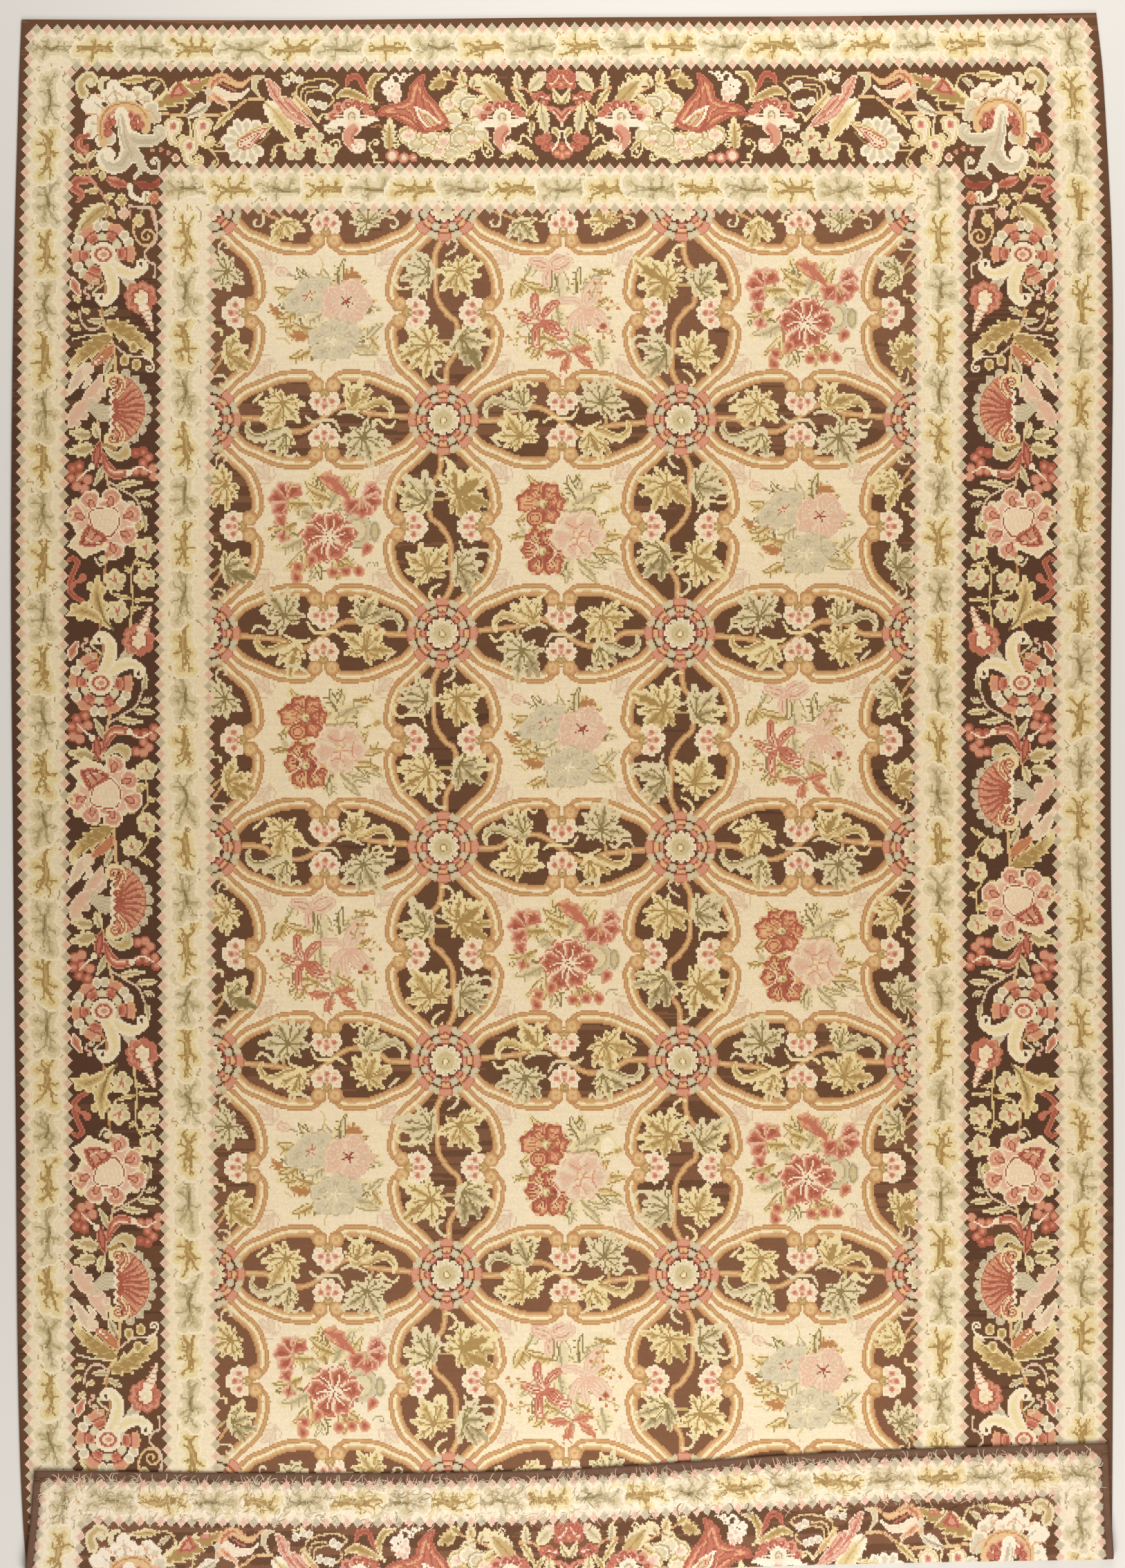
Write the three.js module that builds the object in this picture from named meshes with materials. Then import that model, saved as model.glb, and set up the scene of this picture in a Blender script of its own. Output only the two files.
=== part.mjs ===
// A needlepoint carpet, nominally 8 ft by 12 ft, lying face up on the floor.
// Its near end is folded back over the face, so that a band of the reverse shows.
// A woven tape binds the hem on the reverse, in four strips: far end, near end and two sides.
// Millimetres, +Z up. The origin is on the floor, under the middle of the carpet as it lies.
// +X is across the carpet and +Y runs from the fold towards the far end.
import * as THREE from "three";

// Driving dimensions of the cloth.
const WIDEST = 2440;
const LENGTH = 3685;
const THICKNESS = 5;
const LAYER_GAP = 1;

// The binding tape, let in flush with the reverse of the cloth.
const TAPE_WIDTH = 16;
const TAPE_THICKNESS = 1;
const PIECE_GAP = 0.3;
const REBATE_WALL = 1;

// The fold: a bend under its own weight, a slope down, and a soft turn back to level.
const BEND_RADIUS = 10;
const SLOPE_ANGLE = THREE.MathUtils.degToRad(9);
const SETTLE_RADIUS = 150;

// How uneven the folded flap lies: soft waves across it, and corners that stand up a little.
const WAVE_HEIGHT = 2;
const WAVE_SPACING = 690;
const CORNER_LIFT = 4;
const CORNER_REACH = 160;

// Half widths to the left and right of the middle line, by distance from the far end.
const OUTLINE = [
  { along: 0, left: 1199, right: 1185 },
  { along: 150, left: 1205, right: 1201 },
  { along: 580, left: 1216, right: 1221 },
  { along: 1200, left: 1222, right: 1218 },
  { along: 1810, left: 1218, right: 1217 },
  { along: 2420, left: 1212, right: 1223 },
  { along: 3200, left: 1202, right: 1221 },
  { along: LENGTH, left: 1172, right: 1218 },
];

// How far the front of the fold lies from the far end, from the left side to the right.
const FOLD_LINE = [
  { across: -WIDEST / 2, front: 3450 },
  { across: -WIDEST / 4, front: 3454 },
  { across: 0, front: 3450 },
  { across: WIDEST / 4, front: 3431 },
  { across: WIDEST / 2, front: 3420 },
];

// The far end isn't quite square: its left corner lies nearer and its right corner further out.
const FAR_EDGE = [
  { across: -WIDEST / 2, out: -6 },
  { across: -WIDEST / 4, out: -8 },
  { across: 0, out: -2 },
  { across: WIDEST / 4, out: 1 },
  { across: WIDEST / 2, out: 9 },
];
const FAR_EDGE_REACH = 400;

// The number of steps in each stretch of the mesh.
const STEPS_ACROSS = 28;
const STEPS_MAIN = 26;
const STEPS_BEND = 14;
const STEPS_SLOPE = 5;
const STEPS_SETTLE = 4;
const STEPS_REST = 6;

const smooth = (t) => THREE.MathUtils.smoothstep(t, 0, 1);

// A smooth value from a table's column, by Catmull-Rom slopes between its rows.
function fromTable(rows, key, column, at) {
  const last = rows.length - 1;
  let i = rows.findIndex((row, n) => n === last || at < rows[n + 1][key]);
  i = Math.min(i, last - 1);
  const slope = (n) => {
    const before = rows[Math.max(n - 1, 0)];
    const after = rows[Math.min(n + 1, last)];
    return (after[column] - before[column]) / (after[key] - before[key]);
  };
  const span = rows[i + 1][key] - rows[i][key];
  const t = THREE.MathUtils.clamp((at - rows[i][key]) / span, 0, 1);
  const t2 = t * t;
  const t3 = t2 * t;
  return (
    (2 * t3 - 3 * t2 + 1) * rows[i][column] +
    (t3 - 2 * t2 + t) * span * slope(i) +
    (3 * t2 - 2 * t3) * rows[i + 1][column] +
    (t3 - t2) * span * slope(i + 1)
  );
}

// The fold's section, as the line down the middle of the cloth's thickness.
const BEND_TURN = Math.PI + SLOPE_ANGLE;
const BEND_LENGTH = BEND_RADIUS * BEND_TURN;
const SETTLE_LENGTH = SETTLE_RADIUS * SLOPE_ANGLE;
const DROP =
  BEND_RADIUS * (1 + Math.cos(SLOPE_ANGLE)) -
  (THICKNESS + LAYER_GAP) -
  SETTLE_RADIUS * (1 - Math.cos(SLOPE_ANGLE));
const SLOPE_LENGTH = DROP / Math.sin(SLOPE_ANGLE);
const TURNED_LENGTH = BEND_LENGTH + SLOPE_LENGTH + SETTLE_LENGTH;

// Place and heading a distance past where the bend starts: out from the carpet, and up.
function section(distance) {
  const place = { out: Math.min(distance, 0), up: THICKNESS / 2, heading: 0 };
  const go = (length, radius, turnTo) => {
    if (length <= 0) return;
    const from = place.heading;
    if (radius === null) {
      place.out += length * Math.cos(from);
      place.up += length * Math.sin(from);
      return;
    }
    const side = Math.sign(turnTo - from);
    const to = from + (side * length) / radius;
    place.out += side * radius * (Math.sin(to) - Math.sin(from));
    place.up -= side * radius * (Math.cos(to) - Math.cos(from));
    place.heading = to;
  };
  const part = (start, length) => Math.min(Math.max(distance - start, 0), length);
  go(part(0, BEND_LENGTH), BEND_RADIUS, BEND_TURN);
  go(part(BEND_LENGTH, SLOPE_LENGTH), null);
  go(part(BEND_LENGTH + SLOPE_LENGTH, SETTLE_LENGTH), SETTLE_RADIUS, Math.PI);
  go(part(TURNED_LENGTH, LENGTH), null);
  return place;
}

// How far a spot on the flap stands above where it would lie flat.
function lift(across, half, past, end) {
  const waves = WAVE_HEIGHT * (0.5 - 0.5 * Math.cos((2 * Math.PI * across) / WAVE_SPACING));
  const corner = smooth(1 - Math.hypot(half - Math.abs(across), end - past) / CORNER_REACH);
  return smooth((past - BEND_LENGTH) / SLOPE_LENGTH) * (waves + CORNER_LIFT * corner);
}

// Where a spot of the cloth lies. share runs from 0 at the left edge to 1 at the right,
// inset is a distance in from that edge, along runs from the far end to the near end,
// and depth runs from 0 at the face to THICKNESS at the reverse.
function lay(share, inset, along, depth) {
  const left = -fromTable(OUTLINE, "along", "left", along);
  const right = fromTable(OUTLINE, "along", "right", along);
  const across = left + (right - left) * share + inset;
  const bend = (at) => fromTable(FOLD_LINE, "across", "front", at) - BEND_RADIUS - THICKNESS / 2;
  const tilt = bend(across + 1) - bend(across);
  const start = bend(across);
  const past = along - start;
  const place = section(past);
  const reverse = depth - THICKNESS / 2;
  const turned = past > 0 ? past - place.out : 0;
  const half = (right - left) / 2;
  const raised = past > 0 ? lift(across - (left + right) / 2, half, past, LENGTH - start) : 0;
  const skew = fromTable(FAR_EDGE, "across", "out", across) * smooth(1 - along / FAR_EDGE_REACH);
  return new THREE.Vector3(
    across + tilt * turned,
    skew - start - place.out - reverse * Math.sin(place.heading),
    place.up - reverse * Math.cos(place.heading) + raised,
  );
}

// Even steps from one number to another, without the last unless it is asked for.
function steps(from, to, count, withLast = false) {
  const list = Array.from({ length: count }, (_, i) => from + ((to - from) * i) / count);
  return withLast ? [...list, to] : list;
}

// Distances along the cloth at which its mesh has a row, closer together round the fold.
// The bend starts a little nearer or further along the fold line, so the fine rows span all of it.
const FOLD_STARTS = FOLD_LINE.map((row) => row.front - BEND_RADIUS - THICKNESS / 2);
const BEND_FROM = Math.min(...FOLD_STARTS) - BEND_RADIUS;
const BEND_TO = Math.max(...FOLD_STARTS) + BEND_LENGTH;
const ROWS = [
  ...steps(TAPE_WIDTH + REBATE_WALL, BEND_FROM, STEPS_MAIN),
  ...steps(BEND_FROM, BEND_TO, 2 * STEPS_BEND),
  ...steps(BEND_TO, BEND_TO + SLOPE_LENGTH, STEPS_SLOPE),
  ...steps(BEND_TO + SLOPE_LENGTH, BEND_TO + SLOPE_LENGTH + SETTLE_LENGTH, STEPS_SETTLE),
  ...steps(BEND_TO + SLOPE_LENGTH + SETTLE_LENGTH, LENGTH - TAPE_WIDTH - REBATE_WALL, STEPS_REST, true),
];

// A closed sheet: a box whose grid of points is laid where the cloth lies.
// columns holds { share, inset } and rows holds distances along; top and bottom give its depths.
function sheet(name, columns, rows, top, bottom, material) {
  const geometry = new THREE.BoxGeometry(1, 1, 1, columns.length - 1, rows.length - 1, 1);
  const points = geometry.getAttribute("position");
  for (let i = 0; i < points.count; i++) {
    const column = columns[Math.round((points.getX(i) + 0.5) * (columns.length - 1))];
    const row = rows[Math.round((points.getY(i) + 0.5) * (rows.length - 1))];
    const depth = points.getZ(i) < 0 ? top : bottom(column, row);
    const spot = lay(column.share, column.inset, row, depth);
    points.setXYZ(i, spot.x, spot.y, spot.z);
  }
  geometry.computeVertexNormals();
  const mesh = new THREE.Mesh(geometry, material);
  mesh.name = name;
  return mesh;
}

const WOOL = new THREE.MeshStandardMaterial({ color: 0xb08a62, roughness: 0.95, metalness: 0 });
const TAPE = new THREE.MeshStandardMaterial({ color: 0x5b3d30, roughness: 0.9, metalness: 0 });

// Where the cloth's mesh has a column: under each side tape, beside it, and evenly between.
const COLUMNS = [
  { share: 0, inset: 0, taped: true },
  { share: 0, inset: TAPE_WIDTH, taped: true },
  { share: 0, inset: TAPE_WIDTH + REBATE_WALL, taped: false },
  ...steps(0, 1, STEPS_ACROSS)
    .slice(1)
    .map((share) => ({ share, inset: 0, taped: false })),
  { share: 1, inset: -TAPE_WIDTH - REBATE_WALL, taped: false },
  { share: 1, inset: -TAPE_WIDTH, taped: true },
  { share: 1, inset: 0, taped: true },
];

// The stitched cloth, thinner at its edges on the reverse, where the tape is let in.
function cloth() {
  const rows = [0, TAPE_WIDTH, ...ROWS, LENGTH - TAPE_WIDTH, LENGTH];
  const bottom = (column, row) => {
    const taped = column.taped || row <= TAPE_WIDTH || row >= LENGTH - TAPE_WIDTH;
    return THICKNESS - (taped ? TAPE_THICKNESS + PIECE_GAP : 0);
  };
  return sheet("rug_cloth", COLUMNS, rows, 0, bottom, WOOL);
}

// A strip of tape along one end, over the full width.
function endTape(name, from, to) {
  const depth = THICKNESS - TAPE_THICKNESS;
  return sheet(name, COLUMNS, [from, to], depth, () => THICKNESS, TAPE);
}

// A strip of tape down one side, between the two end strips, round the outside of the fold.
function sideTape(name, share, outer, inner) {
  const columns = [outer, inner].sort((a, b) => a - b).map((inset) => ({ share, inset }));
  const start = TAPE_WIDTH + PIECE_GAP;
  const rows = [start, ...ROWS.slice(1, -1), LENGTH - start];
  const depth = THICKNESS - TAPE_THICKNESS;
  return sheet(name, columns, rows, depth, () => THICKNESS, TAPE);
}

const rug = new THREE.Group();
rug.add(cloth());
rug.add(endTape("binding_tape_far_end", 0, TAPE_WIDTH - PIECE_GAP));
rug.add(endTape("binding_tape_near_end", LENGTH - TAPE_WIDTH + PIECE_GAP, LENGTH));
rug.add(sideTape("binding_tape_left", 0, 0, TAPE_WIDTH - PIECE_GAP));
rug.add(sideTape("binding_tape_right", 1, 0, PIECE_GAP - TAPE_WIDTH));

// The middle of the carpet's footprint goes over the origin.
const box = new THREE.Box3().setFromObject(rug);
const centre = box.getCenter(new THREE.Vector3());
rug.position.set(-centre.x, -centre.y, 0);

export default rug;
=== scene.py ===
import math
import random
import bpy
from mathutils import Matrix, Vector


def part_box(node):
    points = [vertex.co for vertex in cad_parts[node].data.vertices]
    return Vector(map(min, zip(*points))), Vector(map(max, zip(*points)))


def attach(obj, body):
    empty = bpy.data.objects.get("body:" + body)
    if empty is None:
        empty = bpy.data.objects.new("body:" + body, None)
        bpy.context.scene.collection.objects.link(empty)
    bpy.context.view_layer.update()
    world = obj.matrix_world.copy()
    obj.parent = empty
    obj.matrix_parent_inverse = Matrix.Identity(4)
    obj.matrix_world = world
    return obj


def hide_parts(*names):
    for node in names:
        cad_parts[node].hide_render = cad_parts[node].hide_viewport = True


bl_info = {
    "name": "Needlepoint carpet",
    "version": (1, 0, 0),
    "blender": (4, 5, 0),
    "location": "View3D > Sidebar > Carpet",
    "description": "A stitched wool carpet in the Aubusson manner, with one end folded back over its face",
    "category": "Object",
}

import bpy
import numpy as np
from bpy.props import FloatProperty, FloatVectorProperty, IntProperty, PointerProperty
from mathutils import Vector

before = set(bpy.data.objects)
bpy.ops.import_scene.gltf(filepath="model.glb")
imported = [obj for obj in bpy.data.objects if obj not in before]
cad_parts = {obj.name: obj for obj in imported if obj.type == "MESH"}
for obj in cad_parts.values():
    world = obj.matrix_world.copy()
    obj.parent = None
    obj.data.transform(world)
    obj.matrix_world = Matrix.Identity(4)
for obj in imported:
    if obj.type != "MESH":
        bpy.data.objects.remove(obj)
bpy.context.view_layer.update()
CLOTH_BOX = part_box("rug_cloth")
TAPES = ("binding_tape_far_end", "binding_tape_near_end", "binding_tape_left", "binding_tape_right")


# The stitched pattern. It is drawn in points of about 1.53 mm, x across and y from the far end.
COLS, ROWS = 728, 1008
POINT_X, POINT_Y = 2.187, 2.381
WIDE, LONG = COLS * POINT_X, ROWS * POINT_Y

YARNS = {
    "brown": "68452c", "umber": "573824", "earth": "7e553a", "cream": "eedcba",
    "ivory": "f1e1c2", "butter": "e8d5a2", "straw": "d9be85", "olive": "ab8a52",
    "moss": "c4a66c", "sage": "b3a078", "celadon": "cebb8e", "mist": "dfcea6",
    "gold": "bf8c5b", "tan": "cda06c", "honey": "ddb883", "amber": "b5804f",
    "red": "a95b44", "coral": "c0745a", "rose": "d39578", "blush": "e2b69b",
    "shell": "ecd2b2", "grey": "d3c4a4", "slate": "c4b393", "pewter": "a08c6c",
    "mauve": "dcc0a2", "rust": "c08452", "peach": "dca577", "berry": "93493a",
    "pink": "e6cdae", "silver": "d4c5a4", "white": "f0e1c6", "khaki": "8f7b4c",
}
NUMBER = {name: i for i, name in enumerate(YARNS)}


def arc(x, y, rx, ry=None, start=0, end=360, steps=24):
    """Points on an ellipse, by angle in degrees, clockwise from +x as seen on the chart."""
    ry = rx if ry is None else ry
    turn = np.radians(np.linspace(start, end, steps + 1))
    return np.stack([x + rx * np.cos(turn), y + ry * np.sin(turn)], 1)


def places(points):
    """Points as an array. They may be written "x,y x,y", as for a polyline."""
    if isinstance(points, str):
        points = [pair.split(",") for pair in points.split()]
    return np.array(points, float)


def curve(points, closed=False, steps=5):
    """A smooth line through the points."""
    p = places(points)
    n = len(p)
    pad = np.vstack([p[-1:], p, p[:2]]) if closed else np.vstack([2 * p[0] - p[1], p, 2 * p[-1] - p[-2]])
    t = np.linspace(0, 1, steps, endpoint=False)[:, None]
    out = []
    for i in range(n if closed else n - 1):
        a, b, c, d = pad[i : i + 4]
        out.append(b + 0.5 * t * (c - a + t * (2 * a - 5 * b + 4 * c - d + t * (3 * (b - c) + d - a))))
    return np.vstack(out + ([] if closed else [p[-1:]]))


def spiral(x, y, radius, turns, start=0, inner=0.15, steps=26):
    """Points winding in from the radius to the middle. Turns below nought wind the other way."""
    t = np.linspace(0, 1, steps)
    turn = np.radians(start + 360 * turns * t)
    r = radius * (1 - (1 - inner) * t)
    return np.stack([x + r * np.cos(turn), y + r * np.sin(turn)], 1)


def curl(points, radius, turns, inner=0.2):
    """A smooth line that winds up at its end. Turns above nought wind clockwise on the chart."""
    line = curve(points)
    ahead = line[-1] - line[-2]
    ahead = ahead / np.hypot(*ahead)
    out = np.array([ahead[1], -ahead[0]]) * (1 if turns > 0 else -1)
    x, y = line[-1] - radius * out
    start = math.degrees(math.atan2(out[1], out[0]))
    return np.vstack([line, spiral(x, y, radius, turns, start, inner, int(8 + 14 * abs(turns)))[1:]])


def ring_block(near, far, spread, swell=1.5):
    """A block of a ring round the origin, centred on +x, its outer side swelling out."""
    c, s = math.cos(math.radians(spread)), math.sin(math.radians(spread))
    return [(near * c, -near * s), (far * c, -far * s), (far + swell, 0), (far * c, far * s),
            (near * c, near * s)]


def petal(length, width, tip=0.62, notch=0.0):
    """The outline of a petal from the origin along +x, widest at tip."""
    w = width / 2
    end = [(length, -0.3 * w), (length * (1 - notch), 0), (length, 0.3 * w)]
    side = [(0.3 * length, 0.62 * w), (tip * length, w), (0.9 * length, 0.78 * w)]
    up = [(x, -y) for x, y in side]
    return curve([(0, 0)] + up + end + side[::-1], True, 3)


def serrated(length, width, teeth=5, bend=0.0, cut=0.45):
    """The outline of a toothed leaf from the origin along +x, its tip bent to one side."""
    sides = []
    for sign in (-1, 1):
        side = []
        for i in range(teeth):
            t0, t1 = i / teeth, (i + 0.75) / teeth
            w0 = width / 2 * math.sin(math.pi * (0.08 + 0.84 * t0) ** 0.8) * (1 - cut)
            w1 = width / 2 * math.sin(math.pi * (0.08 + 0.84 * t1) ** 0.8)
            side += [(t0 * length, sign * w0), (t1 * length + 0.05 * length, sign * w1)]
        sides.append(side)
    points = sides[0] + [(length * 1.04, 0)] + sides[1][::-1]
    return np.array([(x, y + bend * (x / length) ** 2 * length) for x, y in points])


class Pen:
    """Draws on the chart in a frame of its own: a place, a turn in degrees, a size and a side."""

    def __init__(self, chart, matrix=None):
        self.chart = chart
        self.matrix = np.eye(3) if matrix is None else matrix

    def at(self, x, y, turn=0, size=1, flip=False, squash=1):
        c, s = math.cos(math.radians(turn)) * size, math.sin(math.radians(turn)) * size
        side = -1 if flip else 1
        step = np.array([[c, -s * side * squash, x], [s, c * side * squash, y], [0, 0, 1]])
        return Pen(self.chart, self.matrix @ step)

    def _place(self, points):
        return places(points) @ self.matrix[:2, :2].T + self.matrix[:2, 2]

    def fill(self, shapes, yarns, lean=(0, 0)):
        """Fills the union of the shapes. A shape is an outline, or (line, width) or (line, (widths)).

        yarns reads "cream 2 sage 5 olive": cream for 2 points in from the edge, then sage up to 5,
        and olive for the rest. lean shifts the inner shades towards one side.
        """
        size = math.sqrt(abs(np.linalg.det(self.matrix[:2, :2])))
        parts = []
        for shape in shapes:
            stroke = isinstance(shape, tuple)
            p = self._place(shape[0] if stroke else shape)
            widths = np.atleast_1d(shape[1] if stroke else 0.0)
            width = np.interp(np.linspace(0, 1, len(p)), np.linspace(0, 1, len(widths)), widths)
            parts.append((p, width * size / 2, stroke))
        reach = max(w.max() for _, w, _ in parts)
        every = np.vstack([p for p, _, _ in parts])
        rows, cols = self.chart.shape
        c0 = max(int((every[:, 0].min() - reach) / POINT_X) - 1, 0)
        c1 = min(int((every[:, 0].max() + reach) / POINT_X) + 2, cols)
        r0 = max(int((every[:, 1].min() - reach) / POINT_Y) - 1, 0)
        r1 = min(int((every[:, 1].max() + reach) / POINT_Y) + 2, rows)
        if c0 >= c1 or r0 >= r1:
            return
        x = (np.arange(c0, c1) + 0.5)[None] * POINT_X
        y = (np.arange(r0, r1) + 0.5)[:, None] * POINT_Y
        inside = np.full((r1 - r0, c1 - c0), -1e9)
        for p, half, stroke in parts:
            ends = p[1:] if stroke else np.roll(p, -1, 0)
            near = np.full(inside.shape, 1e9)
            odd = np.zeros(inside.shape, bool)
            for k, (b, a) in enumerate(zip(ends, p)):
                d = b - a
                span = max(float(d @ d), 1e-9)
                t = np.clip(((x - a[0]) * d[0] + (y - a[1]) * d[1]) / span, 0, 1)
                gap = np.hypot(x - a[0] - t * d[0], y - a[1] - t * d[1])
                if stroke:
                    near = np.minimum(near, gap - (half[k] + t * (half[k + 1] - half[k])))
                    continue
                near = np.minimum(near, gap)
                if a[1] != b[1]:
                    odd ^= ((a[1] > y) != (b[1] > y)) & (x < d[0] * (y - a[1]) / d[1] + a[0])
            inside = np.maximum(inside, -near if stroke else np.where(odd, near, -near))
        mask = inside > 0
        if not mask.any():
            return
        middle = every.mean(0)
        deep = inside + lean[0] * (x - middle[0]) + lean[1] * (y - middle[1])
        words = yarns.split()
        out = self.chart[r0:r1, c0:c1]
        out[mask] = NUMBER[words[0]]
        for limit, name in zip(words[1::2], words[2::2]):
            out[mask & (deep > float(limit) * size) & (inside > 1.2)] = NUMBER[name]

    def line(self, points, width, yarns, lean=(0, 0)):
        self.fill([(points, width)], yarns, lean)

    def sweep(self, points, width, yarns, lean=(0, 0)):
        """A smooth stroke through the points."""
        self.line(curve(points), width, yarns, lean)

    def hook(self, points, radius, turns, width, yarns, lean=(0, 0)):
        """A smooth stroke that winds up at its end."""
        self.line(curl(points, radius, turns), width, yarns, lean)

    def sweeps(self, lines, width, yarns):
        for points in lines:
            self.sweep(points, width, yarns)

    def dot(self, x, y, r, yarns, ry=None):
        self.fill([arc(x, y, r, ry, steps=12)], yarns)

    def dots(self, spots, r, yarns, ry=None):
        for x, y in places(spots):
            self.dot(x, y, r, yarns, ry)


LEAF = "butter 2.4 mist 5 celadon"
MOSS = "butter 3 straw 6 moss"
FAINT = "ivory 2 butter 4.5 mist"


def leaflet(pen, length, width, yarns="mist 2 celadon 4.5 sage", rib="sage", bend=0.15, teeth=4):
    """A pale toothed leaf along +x, with a winding dark rib and one dark edge."""
    length, width = 1.1 * length, 1.35 * width
    pen.fill([serrated(length, width, teeth, bend, 0.4)], yarns, (0.1, 0.1))
    t = np.linspace(0, 0.92, 9)
    rib_line = np.stack([t * length, bend * t ** 2 * length + 1.6 * np.sin(7 * t)], 1)
    pen.line(rib_line, (4, 3, 1.6), rib)
    edge = rib_line[2:] + np.stack([0 * t[2:], 0.36 * width * np.sin(math.pi * t[2:])], 1)
    pen.line(edge, (1.6, 2.8, 1.4), rib)
    for k in (2, 4, 6):
        x, y = rib_line[k]
        pen.line([(x, y), (x + 5, y - 0.3 * width)], (2, 1.4), rib)


def leaflets(pen, table, bend):
    """Leaflets from a table of "x,y,turn,length,width,tone", where 0 is moss, 1 leaf and 2 faint."""
    for x, y, turn, long, wide, tone in places(table):
        rib = "sage" if tone else "olive"
        leaflet(pen.at(x, y, turn), long, wide, (MOSS, LEAF, FAINT)[int(tone)], rib, bend)


def bud(pen, size, yarns, cap="olive"):
    """A closed bud in its cap."""
    pen.fill([petal(size, size * 0.62, 0.5)], yarns, (0.1, 0.1))
    pen.line([(-size * 0.25, 0), (size * 0.2, 0)], (3.5, 2.5), cap)


def frill(length, half_angle, phase=0.0, wave=0.07):
    """A petal from the origin along +x, opening to a wavy rim."""
    t = np.linspace(-1, 1, 13)
    r = length * (1 - 0.24 * t ** 2) * (1 + wave * np.cos(8 * t + phase))
    a = np.radians(half_angle) * t
    return np.vstack([[(0, 0)], np.stack([r * np.cos(a), r * np.sin(a)], 1)])


def ruffle(pen, radius, lobes, yarns, squash=0.8, seed=0, throat=("coral", "shell"), vein="silver"):
    """An open flower of overlapping wavy petals, veined, with rays running in to its throat."""
    chance = random.Random(seed)
    petals = [
        (360 * k / lobes + chance.uniform(-9, 9), radius * chance.uniform(0.86, 1.12)) for k in range(lobes)]
    round_off = pen.at(0, 0, 0, 1, False, squash)
    words = yarns.split()
    for a, r in petals[::2] + petals[1::2]:
        p = round_off.at(0, 0, a)
        p.fill([frill(r + 1.5, 215 / lobes, 0)], words[-1])
        p.fill([frill(r, 205 / lobes, chance.uniform(0, 6))], yarns, (0.16, 0.14))
        for v in (-0.5, 0.0, 0.5):
            t = math.radians(v * 150 / lobes)
            ahead, aside = r * math.cos(t), r * math.sin(t)
            p.line([(0.3 * ahead, 0.3 * aside), (0.8 * ahead, 0.84 * aside)], (1.6, 2.2, 1.2), vein)
    for k in range(5):
        a = math.radians(72 * k + chance.uniform(0, 30))
        ray = (0.3 * radius * math.cos(a), 0.3 * radius * math.sin(a))
        round_off.line([(0, 0), ray], (3, 1.6), throat[0])
    round_off.dot(0, 0, 2.6, throat[1])


def lily(pen, radius, yarns, rib, count=6, seed=0, spare=()):
    """A lily of long petals that curl to rounded tips about its throat."""
    chance = random.Random(seed)
    for k in range(count):
        if k in spare:
            continue
        long = radius * chance.uniform(0.85, 1.1)
        p = pen.at(0, 0, 360 * k / count + chance.uniform(-12, 12))
        bend = chance.choice((-0.5, -0.3, 0.3, 0.5))
        line = curve([(2, 0), (long * 0.5, bend * long * 0.16), (long * 0.9, bend * long),
                (long * 0.86, bend * long * 1.3)])
        p.fill([(line, (4, 11, 13, 12, 9, 6))], yarns, (0.1, 0.1))
        p.line(line[2:-5], (1.5, 2.2, 1.2), rib)


def wreath(pen, first, last, count, radius, size, tones, seed=0):
    """Curling leaves set round part of a bouquet, by angle in degrees."""
    chance = random.Random(seed)
    for k in range(count):
        a = first + (last - first) * k / max(count - 1, 1) + chance.uniform(-8, 8)
        x, y = radius * math.cos(math.radians(a)), radius * math.sin(math.radians(a))
        way = 1 if k % 2 else -1
        spot = pen.at(x, y, a + way * chance.uniform(40, 95))
        tone = tones[k % len(tones)]
        rib = "olive" if tone is MOSS else "khaki" if k % 3 else "sage"
        leaflet(spot, size * chance.uniform(0.8, 1.2), 0.5 * size, tone, rib, way * -0.5)


def spray(pen, length, count, yarn, tips, seed=0):
    """A fine stalk with short side shoots that end in dots."""
    chance = random.Random(seed)
    pen.sweep([(0, 0), (length * 0.5, chance.uniform(-4, 4)), (length, 0)], (2.6, 1.6), yarn)
    for k in range(count):
        t = length * (k + 0.6) / count
        y = (1 if k % 2 else -1) * chance.uniform(5, 8)
        pen.line([(t - 5, 0), (t, y)], 1.6, yarn)
        pen.dot(t, y, 2.6, tips)


def blue_bouquet(pen):
    """Two silvery flowers and a pink one, with a few amber leaves."""
    leaflets(pen, "-30,-18,190,44,22,0 -22,12,160,46,18,0 -8,30,196,50,20,0 40,20,30,46,22,0 "
            "30,44,8,44,24,1 34,-6,-10,42,20,1 30,-24,-50,34,18,0 4,-34,-120,30,18,2 -16,54,150,36,16,0 "
            "54,36,-46,34,14,1 -2,2,150,30,30,2 46,-40,60,34,22,2", 0.2)
    for x, y, turn, size in places("-60,4,200,24 -26,34,170,26 12,-50,-20,34 20,-46,-40,26"):
        leaflet(pen.at(x, y, turn), size, size * 0.6, "honey 1.6 rust 4 amber", "amber", 0.3, 3)
    bud(pen.at(-50, -54, -160), 24, "blush 2 shell 5 mauve", "sage")
    bud(pen.at(-36, -50, -20), 18, "shell 2 mauve", "olive")
    wreath(pen, 0, 330, 12, 38, 34, (MOSS, LEAF, FAINT), 4)
    ruffle(pen.at(-24, -24, -38), 37, 5, "mist 1.6 silver 4.5 grey 10 slate", 0.74, 3, ("coral", "shell"),
            "silver")
    ruffle(pen.at(30, -16), 34, 5, "pink 1.6 blush 5 mauve 8 blush", 0.95, 5, ("berry", "red"), "pink")
    ruffle(pen.at(8, 40, -14), 40, 5, "mist 1.6 silver 4.5 grey 10 slate", 0.76, 8, ("ivory", "butter"),
            "mist")
    for x, y, turn in places("-52,44,200 56,52,-10 -6,-62,-100 0,68,100"):
        pen.at(x, y, turn).sweep("0,0 9,4 20,0", (3, 1.4), "straw")


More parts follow.
